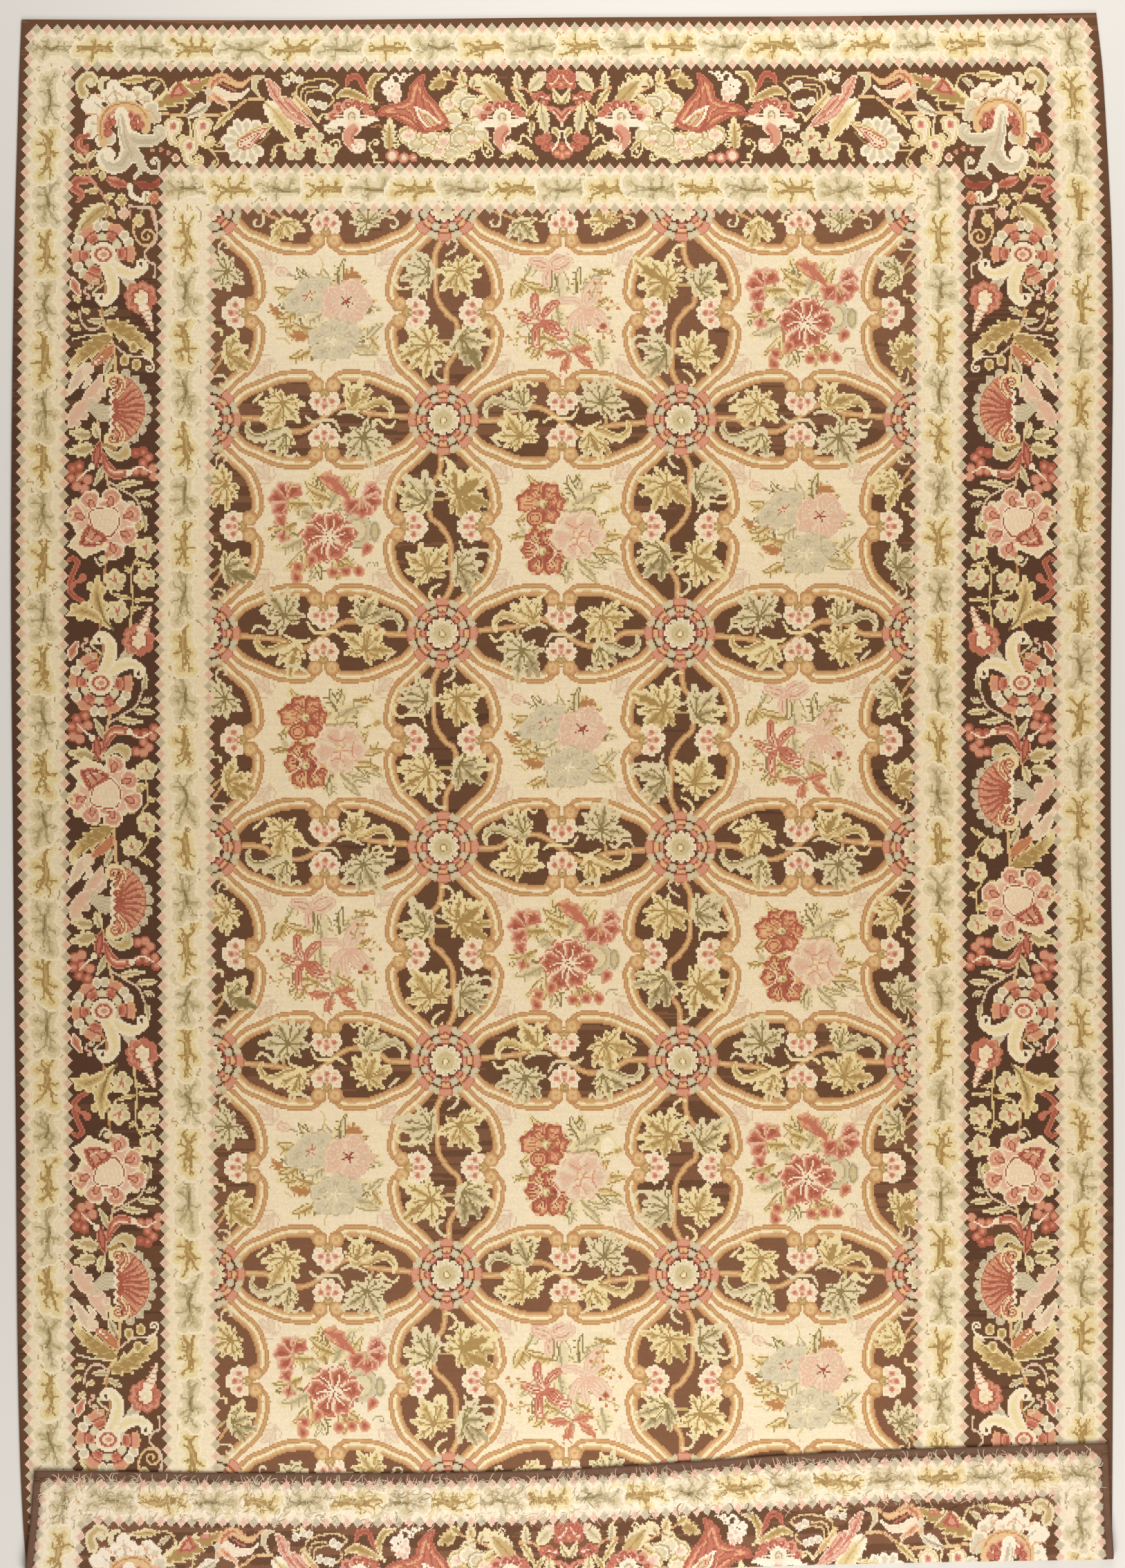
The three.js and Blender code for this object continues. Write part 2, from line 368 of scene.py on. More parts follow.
def lily_bouquet(pen):
    """Three lilies, pink and coral, with fine sprays at the sides."""
    leaflets(pen, "-56,-52,-60,26,20,2 -56,-50,110,34,22,0 -6,-18,-100,40,34,2 6,6,60,48,26,1 "
            "-8,-10,80,34,20,1 26,-34,-48,46,16,1 30,-48,-20,26,12,1 44,-62,4,30,9,0 52,40,70,34,22,1 "
            "0,48,200,34,18,0 -26,44,120,28,16,0 30,20,-30,40,12,2", 0.22)
    wreath(pen, 190, 420, 9, 36, 34, (LEAF, FAINT, MOSS), 5)
    wreath(pen, 100, 160, 3, 44, 30, (FAINT, MOSS), 6)
    lily(pen.at(-20, -64), 28, "blush 2 pink 4.4 mauve", "rose", 6, 2, (1,))
    lily(pen.at(32, -6, 8), 40, "blush 2 pink 5 mauve", "blush", 7, 11)
    lily(pen.at(-30, 12, 20), 37, "coral 2 rose 4.4 shell", "red", 7, 4, (6,))
    for x, y, turn in places("10,56,-20 20,60,30 8,62,100 4,58,170"):
        leaflet(pen.at(x, y, turn), 28, 13, "peach 1.6 rose 3.6 rust", "coral", 0.2, 3)
    for x, y, turn, s in places("42,-22,-62,1 52,-8,-12,2 50,26,20,3 -58,4,188,4 -52,34,165,5"):
        spray(pen.at(x, y, turn), 30, 4, "moss" if s % 2 else "straw", "rust", s)
    pen.dot(58, 20, 5, "coral 2 red")
    pen.dot(50, 26, 3, "red")
    pen.sweep("-64,60 -72,30 -66,4", 2.4, "butter")


def red_bouquet(pen):
    """A great red flower with ivory streaks, and curling red petals."""
    leaflets(pen, "-4,-26,-112,50,26,0 8,-28,-70,50,26,1 -12,-10,-150,42,26,1 -22,16,150,48,22,1 "
            "-14,30,130,48,20,0 20,40,76,34,22,0 16,-24,-20,34,24,1 -30,40,96,30,14,2 -36,-22,-120,26,16,2 "
            "0,44,110,40,14,2", 0.2)
    wreath(pen, 130, 330, 9, 40, 36, (MOSS, LEAF, MOSS, FAINT), 9)
    wreath(pen, 20, 110, 5, 44, 30, (LEAF, FAINT, MOSS), 2)
    for r, tone in ((1, "pewter 1.4 silver 6 celadon"), (0.62, "sage 1.4 celadon 3 mist")):
        pen.at(48, 6, 0, r).fill([arc(0, 0, 24, 26)], tone)
    pen.fill([arc(74, 8, 9, 16)], "silver 2 sage 5 celadon")
    for cx, cy, size, turns in (
        (-52, -38, 29, (246, 300, 190, 130)), (54, -42, 31, (330, 20, 80, 140)), (-56, 2, 22, (240, 100)),
    ):
        for turn in turns:
            petals = pen.at(cx, cy, turn)
            petals.fill([frill(size, 44, turn)], "blush 1.6 rose 4 coral 8 red", (0.1, 0.15))
            petals.line([(0.3 * size, 0), (0.75 * size, 1)], (3, 1.6), "red")
            petals.line([(0.4 * size, -5), (0.8 * size, -6)], (2, 1.2), "blush")
        pen.at(cx, cy, 60).line("0,0 16,6", (4, 2), "moss")
    leaflet(pen.at(-6, -72, 10), 44, 24, "peach 1.6 rose 4 coral", "coral", 0.5, 3)
    ruffle(pen.at(6, 14), 39, 6, "shell 1.4 rose 3.6 coral 7 red 10 coral", 0.98, 21, ("berry", "ivory"),
            "red")
    for turn in (228, 290, 348, 48, 106, 168):
        pen.at(6, 14, turn).sweep("5,0 14,3 26,1", (3.4, 1.6), "ivory")
    for x, y, turn in places("-50,54,20 -46,62,60 18,62,10 28,64,170 44,52,60 56,44,-60 -22,62,-70"):
        pen.at(x, y, turn).fill([petal(23, 17)], "peach 1.6 rose 3.5 coral 6 red")
    pen.dots("-44,58 22,64 46,56", 2.2, "butter")
    for x, y, turn in places("62,58,-30 -34,-62,160 40,-62,-80"):
        tendril_line = np.vstack([curve("0,0 8,-4 16,0"), spiral(16, 6, 6, 1, -90)])
        pen.at(x, y, turn, 0.8).line(tendril_line, 2.2, "sage" if x > 50 else "straw")


def rose_bouquet(pen):
    """Two red roses and a pink one."""
    leaflets(pen, "-6,-50,190,44,16,0 2,-30,-64,44,26,1 10,-26,-36,52,24,1 4,-22,-10,50,16,1 "
            "44,-58,-8,26,12,0 48,-42,30,34,14,1 -16,10,196,30,12,0 -14,6,20,36,16,0 46,18,-16,40,18,0 "
            "46,10,-60,26,14,0 44,32,18,44,14,1 24,48,40,40,18,1 10,50,84,30,16,1 34,48,12,34,12,1 "
            "-50,14,170,26,10,0", 0.18)
    wreath(pen, 250, 430, 8, 46, 36, (MOSS, LEAF, FAINT), 7)
    wreath(pen, 160, 215, 3, 48, 26, (MOSS,), 3)
    pen.fill([arc(62, -30, 14, 18)], "butter 4 ivory")
    bud(pen.at(64, -20, -20), 22, "butter 3 moss 6 olive", "olive")
    bud(pen.at(-62, -4, 60), 18, "mist 2 celadon 5 moss", "olive")
    for cx, cy, size, lobes, tone, vein, seed in (
        (-27, -33, 36, 6, "red 2.8 coral 5 peach 9 honey", "coral", 4), (-27, 36, 35, 6,
                "red 2.4 coral 5 peach 8 honey", "berry", 9),
    ):
        ruffle(pen.at(cx, cy), size, lobes, tone, 0.98, seed, ("olive", "butter"), vein)
        pen.dot(cx, cy, 6, "celadon 2 butter")
        pen.dot(cx + 2, cy + 1, 2.4, "olive")
    pen.fill([arc(-38, -12, 13, 12)], "red 2.6 peach 5 red 7 peach")
    for points in ("-50,-44 -38,-52 -26,-44", "-18,-50 -6,-44 -8,-26", "-44,22 -34,30 -38,42",
                   "-16,26 -8,38 -16,50"):
        pen.sweep(points, (2, 3, 1.6), "red" if places(points)[0, 1] < 0 else "shell")
    ruffle(pen.at(24, 14), 37, 6, "shell 1.6 pink 5 mauve 9 blush", 0.98, 12, ("rose", "honey"), "blush")
    pen.sweeps(("6,-6 20,2 34,-6", "44,2 40,16 46,30", "10,30 22,26 32,38"), (1.6, 2.6, 1.4), "rose")
    pen.dot(22, 12, 5, "honey 2 shell")


BOUQUETS = {"blue": blue_bouquet, "lily": lily_bouquet, "red": red_bouquet, "rose": rose_bouquet}
CELLS = (
    ("blue", "lily", "red"), ("red", "rose", "blue"), ("rose", "blue", "lily"),
    ("lily", "red", "rose"), ("blue", "rose", "red"), ("red", "lily", "blue"),
)


# The field's first rosette, and how far apart the rosettes are, in points.
FIRST_X, FIRST_Y = 128 * POINT_X, 115 * POINT_Y
CELL_X, CELL_Y = 472 / 3 * POINT_X, 778 / 6 * POINT_Y

GILT = "gold 1.8 tan 4.6 gold 6.8 butter 8.8 ivory 10.8 honey 13 tan 15.8 gold 18.2 brown"


def cartouche(pen, half_long, half_wide, shoulder):
    """The brown shape between two rosettes, along x, in its gilt frame with scrolls at mid side."""
    end = 24
    quarter = [
        (half_long - end, 20), (half_long - 50, 46), (half_long - 72, half_wide - 16),
        (half_long - shoulder, half_wide - 4), (half_long - shoulder - 24, half_wide),
        (26, half_wide), (14, half_wide - 5), (5, half_wide - 17), (1.5, half_wide - 27),
    ]
    right = curve(quarter)
    left = right[::-1] * (-1, 1)
    top = np.vstack([right, left])
    pen.fill([np.vstack([top, top[::-1] * (1, -1)])], GILT)
    for side in (-1, 1):
        for way in (-1, 1):
            knob = pen.at(way * 12, side * (half_wide - 21))
            knob.fill([arc(0, 0, 11.5)], "gold 2 tan 5 honey 9 tan", (0, -0.2 * side))
        pen.line([(0, side * (half_wide - 4)), (0, side * (half_wide - 26))], (7, 1.5), "cream")


def posy(pen):
    """The small blossom behind the scrolls, facing along -y from its stalk at the origin."""
    frills = [arc(x, y, r, steps=10) for x, y, r in places("-13,-6,5 -15,-13,5 -10,-19,6 -3.5,-25,5 "
            "3.5,-25,5 10,-19,6 15,-13,5 13,-6,5")]
    pen.fill(frills + [arc(0, -12, 13, 10)], "ivory 2 shell 4.5 blush")
    for x, y, r in places("-9.5,-13,3.6 9.5,-13,3.6 0,-19,3.8 0,-11,2.6"):
        pen.dot(x, y, r, "rose 1.6 coral")
    for side in (-1, 1):
        pen.line([(side * 2.5, -7), (side * 5.5, -17)], 1.8, "ivory")
    pen.fill(["-7,-2 -3,-9 0,-4 3,-9 7,-2 0,4"], "olive 1.5 moss")


LEAF_TONES = {
    "butter": ("butter 3.6 straw 6 moss 8.4 olive", "butter 3.4 straw 5.6 moss", "olive"),
    "celadon": ("mist 4 celadon 6.4 sage", "mist 4.4 celadon 6 sage", "khaki"),
    "moss": ("butter 3 straw 4.6 moss 7 olive", "butter 3.8 straw 5.4 olive", "olive"),
    "sage": ("mist 3.2 celadon 5.4 sage 8 khaki", "butter 3.4 celadon 6 sage", "khaki"),
}
LEAF_BLADES = {
    "star": ((-142, 21), (146, 22), (-104, 29), (106, 30), (-64, 36), (66, 37), (-30, 34), (33, 35), (2, 42)),
    "half": ((-120, 24), (44, 27), (-88, 36), (14, 38), (-54, 40), (-18, 44)),
    "curl": ((-128, 22), (-98, 32), (-64, 38), (-28, 36)),
}


def vine_leaf(pen, seed, kind="star", shade="celadon"):
    """A vine leaf of toothed blades that points along +x: full, side on, or with a curling tip."""
    chance = random.Random(seed)
    whole, single, vein = LEAF_TONES[shade]
    blades, ribs = [], []
    for angle, length in LEAF_BLADES[kind]:
        a, long = math.radians(angle + chance.uniform(-6, 6)), length * chance.uniform(0.86, 1.14)
        turn = np.array([[math.cos(a), math.sin(a)], [-math.sin(a), math.cos(a)]])
        bend = chance.uniform(-0.2, 0.2)
        blades.append(serrated(long, long * 0.64, 4, bend, 0.36) @ turn)
        ribs.append((np.array([(t * long, bend * t * t * long) for t in (0, 0.25, 0.5, 0.78)]) @ turn, turn))
    if kind == "curl":
        arm = curve("0,2 16,4 32,-2 46,-1 54,10 51,20")
        teeth = [arc(x, y - 5, 4.4, steps=6) for x, y in arm[6:-5:4]]
        pen.fill([(arm, (8, 11, 12, 11, 9, 5))] + teeth, whole, (0, -0.15))
        pen.line(arm[:-6] + (0, 3), (3, 2, 1.4), vein)
    pen.fill([(arc(0, 0, 5), 9)] + blades, whole, (0.1, 0.14))
    for blade in blades[::2]:
        pen.fill([blade], single, (-0.12, 0.1))
    for rib, turn in ribs:
        pen.line(rib, (2.8, 1.9, 1.3), vein)
        for side in (-1, 1):
            twig = np.array([(0, 0), (5.5, 4 * side)]) @ turn + rib[2]
            pen.line(twig, (1.7, 1.1), vein)


def tendril(pen, points, yarn):
    """A thin curling tendril."""
    path = curve(points)
    pen.line(path, (3.6, 5.2, 4, 4.8, 3), yarn)


# Two ways for a stem to wind between rosettes: its path, then leaves (place, turn, kind, shade, size,
# where the stalk starts), then tendrils. The first runs down the field and the second across it.
VINES = (
    ("0,-112 -14,-84 -13,-54 -11,-22 4,2 18,16 17,56 5,78 2,112",
     ((-22, -58, 222, "half", "celadon", 0.94, (-13, -50)), (20, -62, 60, "star", "butter", 0.94, (-13, -56)),
      (-22, 46, 150, "star", "moss", 1.06, (17, 40)), (24, 34, 70, "half", "sage", 0.98, (18, 36))),
     (((4, -100), (10, -107), (18, -101), (14, -90), (2, -83)),
      ((-68, -52), (-72, -42), (-62, -34), (-46, -37), (-30, -34), (-25, -21)),
      ((46, 38), (54, 35), (62, 37)), ((-4, 56), (3, 53), (10, 55)),
      ((-4, 76), (-12, 80), (-13, 90), (-4, 98), (4, 96)))),
    ("-118,-2 -90,0 -72,12 -40,18 -18,10 2,-6 24,-20 42,-20 62,-10 118,-4",
     ((-60, -24, 110, "star", "butter", 0.96, (-62, 14)), (-56, 20, 175, "curl", "sage", 0.94, (-44, 17)),
      (40, -20, -4, "curl", "moss", 0.96, (30, -20)), (56, 24, 66, "star", "celadon", 1.0, (64, -8))),
     (((24, -56), (36, -49), (48, -47), (54, -53)), ((-27, -4), (-16, 3), (4, 1), (15, 3), (23, 16)),
      ((-103, -26), (-96, -32), (-90, -38)), ((-57, 50), (-48, 54), (-40, 49), (-36, 53)),
      ((70, 3), (78, 0), (86, 8), (97, 10), (103, 2)), ((20, -8), (30, -12), (44, -9), (56, -3)))),
)


def vine(pen, seed, way):
    """A stem that winds from rosette to rosette with four leaves and some tendrils."""
    path, leaves, tendrils = VINES[way]
    for x, y, _, _, shade, _, start in leaves:
        pen.sweep([start, ((x + start[0]) / 2 + 2, (y + start[1]) / 2 - 3), (x, y)], 4.2, "moss")
    pen.sweep(path, (9.5, 8, 8.6, 7.6, 9), "gold 1.8 tan 3.4 honey")
    for k, (x, y, turn, kind, shade, size, _) in enumerate(leaves):
        vine_leaf(pen.at(x, y, turn, size * (1.14 - 0.06 * way)), seed + k * 0.37, kind, shade)
    for k, points in enumerate(tendrils):
        tendril(pen, points, ("butter", "mist")[(seed + k) % 2])


def rosette(pen):
    """Rings of pink and grey blocks about a scalloped flower."""
    pen.fill([arc(0, 0, 46)], "umber")
    for k in range(16):
        p = pen.at(0, 0, 22.5 * k)
        if k % 2 == 0:
            p.fill([ring_block(40, 51, 12.5)], "coral 1.4 rose")
            p.fill([ring_block(31, 38, 10.5)], "peach 2 honey")
            p.fill([ring_block(23, 31, 12)], "coral 1.2 rose")
            for r, half in places("39.4,8.4 31.2,5.4 24,5"):
                p.line([(r - 0.6, -half), (r + 0.6, 0), (r - 0.6, half)], 2.7, "red")
        else:
            p.fill([ring_block(40.5, 46, 9.5)] + [arc(46, s * 4.6, 4.6) for s in (-1, 1)],
                    "celadon 1.6 grey 4 slate")
            p.fill([ring_block(27, 36.5, 10.5)], "slate 1.8 grey")
            p.line("25.4,-5 25.4,5", 2.2, "umber" if k % 4 == 1 else "berry")
    scallops = [arc(x, y, 5, steps=10) for x, y in arc(0, 0, 18.4, None, 0, 330, 11)]
    pen.fill([arc(0, 0, 18)] + scallops, "ivory 1.6 mist 5 celadon 14 butter")
    for k in range(12):
        pen.at(0, 0, 30 * k + 15).line("19.5,0 23.5,0", 1.6, "umber")
    pen.dot(0, 1, 5.6, "olive 1.6 butter 3 ivory")


def sprig(pen, bold, seed):
    """A ragged sprig that runs along the cream guard, with a soft glow about it."""
    chance = random.Random(seed)
    yarn, glow = ("olive", "ivory 3 butter 8 straw") if bold else ("sage", "ivory 3 mist 8 celadon")
    reach = chance.uniform(7, 13)
    spine = curve([(-reach, chance.uniform(-4, 4)), (0, chance.uniform(-2, 2)),
            (reach, chance.uniform(-4, 4))])
    twigs = []
    for k in range(7):
        end, side = (-1, 1)[k % 2], (-1, 1)[k // 2 % 2]
        steep = k // 4
        lean = math.radians(chance.uniform(4, 30) + 40 * steep)
        long = chance.uniform(17, 28) * (1 - 0.42 * steep)
        root = end * reach * chance.uniform(0.4, 1) * (1 - 0.6 * steep)
        over, rise = end * math.cos(lean) * long, side * math.sin(lean) * long
        twigs.append(curve([(root, 0), (root + 0.5 * over, 0.35 * rise + chance.uniform(-3, 3)),
                            (root + over, rise)], steps=3))
    pen.fill([arc(x, y, chance.uniform(8, 14), steps=9) for path in twigs for x, y in path[::2]], glow)
    pen.line(spine, (4, 9, 4) if bold else (3, 6, 3), yarn)
    for path in twigs:
        path = path + np.array([(chance.uniform(-1.5, 1.5), chance.uniform(-1.5, 1.5)) for _ in path])
        pen.line(path, (chance.uniform(4, 6), 3, 1.6) if bold else (3.6, 2.4, 1.6), yarn)
        for x, y in (path[3], path[-2]):
            turn = math.atan2(y, x) + chance.choice((-1, 1)) * chance.uniform(0.4, 1.1)
            pen.line([(x, y), (x + 6.5 * math.cos(turn), y + 6.5 * math.sin(turn))], (2.2, 1.4), yarn)
    pen.line(spine, 2.6, "moss" if bold else "khaki")


def squiggle(pen, yarn, seed):
    """A short wavering stroke."""
    chance = random.Random(seed)
    pen.sweep([(chance.uniform(-5.5, 5.5), 4.6 * k - 12) for k in range(6)], (1.5, 2.4, 1.5), yarn)


def half_vine(pen, seed, side, reach, deep):
    """The leaves, stems and tendrils in half a brown shape, cut off by the guard along x = 0."""
    for up, kind, shade in ((-1, "star", ("celadon", "moss")[side]), (1, "half", ("butter", "sage")[side])):
        pen.sweep([(30, up * 54), (18, up * 74), (8, up * reach)], 4.2, "tan")
        pen.sweep([(-4, up * 60), (8, up * 66), (20, up * 58)], 4, "moss")
        vine_leaf(pen.at(deep, up * 60, 90 - 60 * up, 0.44 + deep / 60), seed + up, kind, shade)
        tendril(pen.at(22, up * 96, 40 * up, 0.8), "-12,3 -4,-5 5,-7 12,-1 9,7 2,6", "mist")
    tendril(pen.at(14, 14, 20), "-12,10 -4,4 2,10 10,8 14,15", "butter")


def spots_of(cols, rows, off_x, off_y):
    """Each column and row of a grid on the field, and its place, off from the cells' corners."""
    for i in range(cols):
        for j in range(rows):
            yield i, j, FIRST_X + CELL_X * (i + off_x), FIRST_Y + CELL_Y * (j + off_y)


def fill_field(chart):
    """Three by six cream panels, the brown shapes between them, and a rosette at each crossing."""
    pen = Pen(chart)
    right, near = WIDE - FIRST_X, LONG - FIRST_Y
    pen.fill([[(FIRST_X, FIRST_Y), (right, FIRST_Y), (right, near), (FIRST_X, near)]], "cream")
    for i, j, cx, cy in spots_of(3, 6, 0.5, 0.5):
        for sx, sy in places("-1,-1 -1,1 1,-1 1,1"):
            tuft = pen.at(cx + sx * 80, cy + sy * 70, math.degrees(math.atan2(sy, sx)))
            for a, long in places("-30,24 30,24 0,28"):
                tuft.at(0, 0, a).fill([petal(long, 10, 0.6)], "mauve 1.8 pink 4 shell")
            tuft.fill([arc(-1, 0, 6, 5)], "pink 2 mauve")
            for side in (-1, 1):
                tuft.line([(-6, side * 5), (-2, side * 11), (6, side * 15)], (1.4, 2.4, 1.4), "mauve")
        BOUQUETS[CELLS[j][i]](pen.at(cx, cy))
    for i, j, cx, cy in spots_of(4, 6, 0, 0.5):
        cartouche(pen.at(cx, cy, 90), CELL_Y / 2, 86, 98)
    for i, j, cx, cy in spots_of(3, 7, 0.5, 0):
        cartouche(pen.at(cx, cy), CELL_X / 2, 72, 100)
    for i, j, cx, cy in spots_of(4, 6, 0, 0.5):
        if i in (0, 3):
            half_vine(pen.at(cx, cy, 180 if i else 0), i * 9 + j, (i + j) % 2, 88, 30)
        else:
            vine(pen.at(cx, cy, 180 * (j % 2), 1, i == 2), i * 31 + j, 0)
        for way in (-1, 1):
            if 0 < i < 3 or (i == 0) == (way == 1):
                posy(pen.at(cx + way * 57, cy, -90 * way, 1.2))
    for i, j, cx, cy in spots_of(3, 7, 0.5, 0):
        if j in (0, 6):
            half_vine(pen.at(cx, cy, 90 if j == 0 else -90), i * 7 + j, (i + j) % 2, 100, 23)
        else:
            vine(pen.at(cx, cy, 180 * (1 - j % 2), 1, i == 1), i * 17 + j + 5, 1)
        for way in (-1, 1):
            if 0 < j < 6 or (j == 0) == (way == 1):
                posy(pen.at(cx, cy + way * 41, 0 if way > 0 else 180, 1.16))
    for _, _, cx, cy in spots_of(4, 7, 0, 0):
        rosette(pen.at(cx, cy))


DIAMOND = 7  # stitches across one diamond of the guards' edges


def ring_of_diamonds(chart, inset_x, inset_y):
    """Diamonds side by side round a rectangle, pink and silver by turns."""
    w, h = COLS - 2 * inset_x, ROWS - 2 * inset_y
    nx, ny = round(w / DIAMOND), round(h / DIAMOND)
    spots = [(inset_x + w * (k + 0.5) / nx, inset_y, k) for k in range(nx)]
    spots += [(inset_x + w * (k + 0.5) / nx, ROWS - inset_y, k) for k in range(nx)]
    spots += [(inset_x, inset_y + h * (k + 0.5) / ny, k + 1) for k in range(ny)]
    spots += [(COLS - inset_x, inset_y + h * (k + 0.5) / ny, k + 1) for k in range(ny)]
    for x, y, k in spots:
        cx, cy = round(x - 0.5), round(y - 0.5)
        for dx in range(-3, 4):
            tall = 3 - abs(dx)
            chart[cy - tall:cy + tall + 1, cx + dx] = NUMBER["shell" if k % 2 else "grey"]
            if abs(dx) < 3:
                chart[cy - 2 + abs(dx):cy + 3 - abs(dx), cx + dx] = NUMBER["blush" if k % 2 else "slate"]


# How far apart the sprigs of a guard are, across and along, in points.
SPRIG_X, SPRIG_Y = 70, 74


def guard(chart, inset_x, inset_y, deep_x, deep_y):
    """The cream band from this inset inwards, with its sprigs, none of which runs out of the band."""
    cream = chart[inset_y:ROWS - inset_y, inset_x:COLS - inset_x]
    inner = cream[deep_y:-deep_y, deep_x:-deep_x].copy()
    cream[:] = NUMBER["cream"]
    w, h = (COLS - 2 * inset_x - deep_x) * POINT_X, (ROWS - 2 * inset_y - deep_y) * POINT_Y
    x0, y0 = deep_x / 2 * POINT_X, deep_y / 2 * POINT_Y
    nx, ny = round(w / SPRIG_X), round(h / SPRIG_Y)
    spots = [(x0 + w * k / nx, y0, 0, k) for k in range(nx)]
    spots += [(x0 + w, y0 + h * k / ny, 90, k) for k in range(ny)]
    spots += [(x0 + w * (1 - k / nx), y0 + h, 180, k) for k in range(nx)]
    spots += [(x0, y0 + h * (1 - k / ny), 270, k) for k in range(ny)]
    for n, (x, y, turn, k) in enumerate(spots):
        spot = Pen(cream).at(x, y, turn)
        spot.line("22,1 36,-1 52,1", 1.7, "tan")
        for shift, yarn in ((-17, "moss"), (17, "sage"), (8, "moss")):
            squiggle(spot.at(34 + shift % 5, shift, 66 + 9 * (n % 5)), yarn, n + shift)
        sprig(spot.at(0, 0, 0, 1.16), k % 2, n + inset_x)
    cream[deep_y:-deep_y, deep_x:-deep_x] = inner


def blobs(pen, spots, r, yarns, lean=(0.1, 0.12)):
    """A ruffled shape: the union of rounds at the spots."""
    pen.fill([arc(x, y, r, steps=12) for x, y in places(spots)], yarns, lean)


def leaf(pen, x, y, to_x, to_y, width, yarns, rib="olive", bend=0.12, teeth=4, cut=0.36):
    """A toothed leaf from one place to another."""
    turn, long = math.degrees(math.atan2(to_y - y, to_x - x)), math.hypot(to_x - x, to_y - y)
    p = pen.at(x, y, turn)
    p.fill([serrated(long, width, teeth, bend, cut)], yarns, (0.12, 0.12))
    t = np.linspace(0, 0.84, 6)
    p.line(np.stack([t * long, bend * t ** 2 * long], 1), (3, 1.8), rib)


def blossom(pen, r=12, heart="coral"):
    """A small pale flower of five lobes with a red heart."""
    spots = arc(0, 0, 0.62 * r, None, -90, 198, 4)
    blobs(pen, np.vstack([spots, [(0, 0)]]), 0.46 * r, "butter 1.6 mist 4 celadon")
    for spot in spots[::2]:
        pen.line([(0, 0), 0.7 * spot], (2.6, 1.4), heart)
    pen.dot(0, 0, 0.18 * r, heart)


GREENLEAF = "butter 1.8 moss 4.2 olive"
PALELEAF = "butter 1.8 mist 4 celadon 6 sage"


def orchid(pen):
    """A hooded cream flower with a red crown, its body curling up in a scroll below."""
    blobs(pen, "-27,3 -20,-9 -6,-14 6,-14 20,-9 27,3", 8.4, "rose 1.5 red 4.6 coral")
    for x, y in places("-24,2 -15,-9 -4,-14 5,-13 16,-9 24,2"):
        pen.line([(x * 0.3, y * 0.3 + 4), (x, y)], (3, 1.6), "shell")
    for side in (-1, 1):
        wing = [(side * 6, 14), (side * 20, 12), (side * 30, 8 if side > 0 else 16),
                (side * 38, 10 if side > 0 else 20)]
        pen.sweep(wing, (13, 11, 9, 4), "ivory 2 white 5 cream")
    pen.fill([arc(0, 4, 13, 14), arc(0, 14, 15, 9)], "ivory 2.4 cream 6 shell")
    pen.line(arc(0, 4, 5, 5.5, 150, 400, 10), 2.6, "sage")
    pen.dot(1, 5, 2, "moss")
    body = curl("4,22 -5,30 -4,40 4,50", 8, -1.1)
    pen.fill([(body, (19, 17, 13, 8, 5))], "shell 2 blush 4 rose", (-0.25, 0))
    pen.sweep("7,24 0,34 3,46", (5, 2.4), "coral")
    pen.hook("1,46 4,52", 7, -1.2, (5, 3), "ivory")


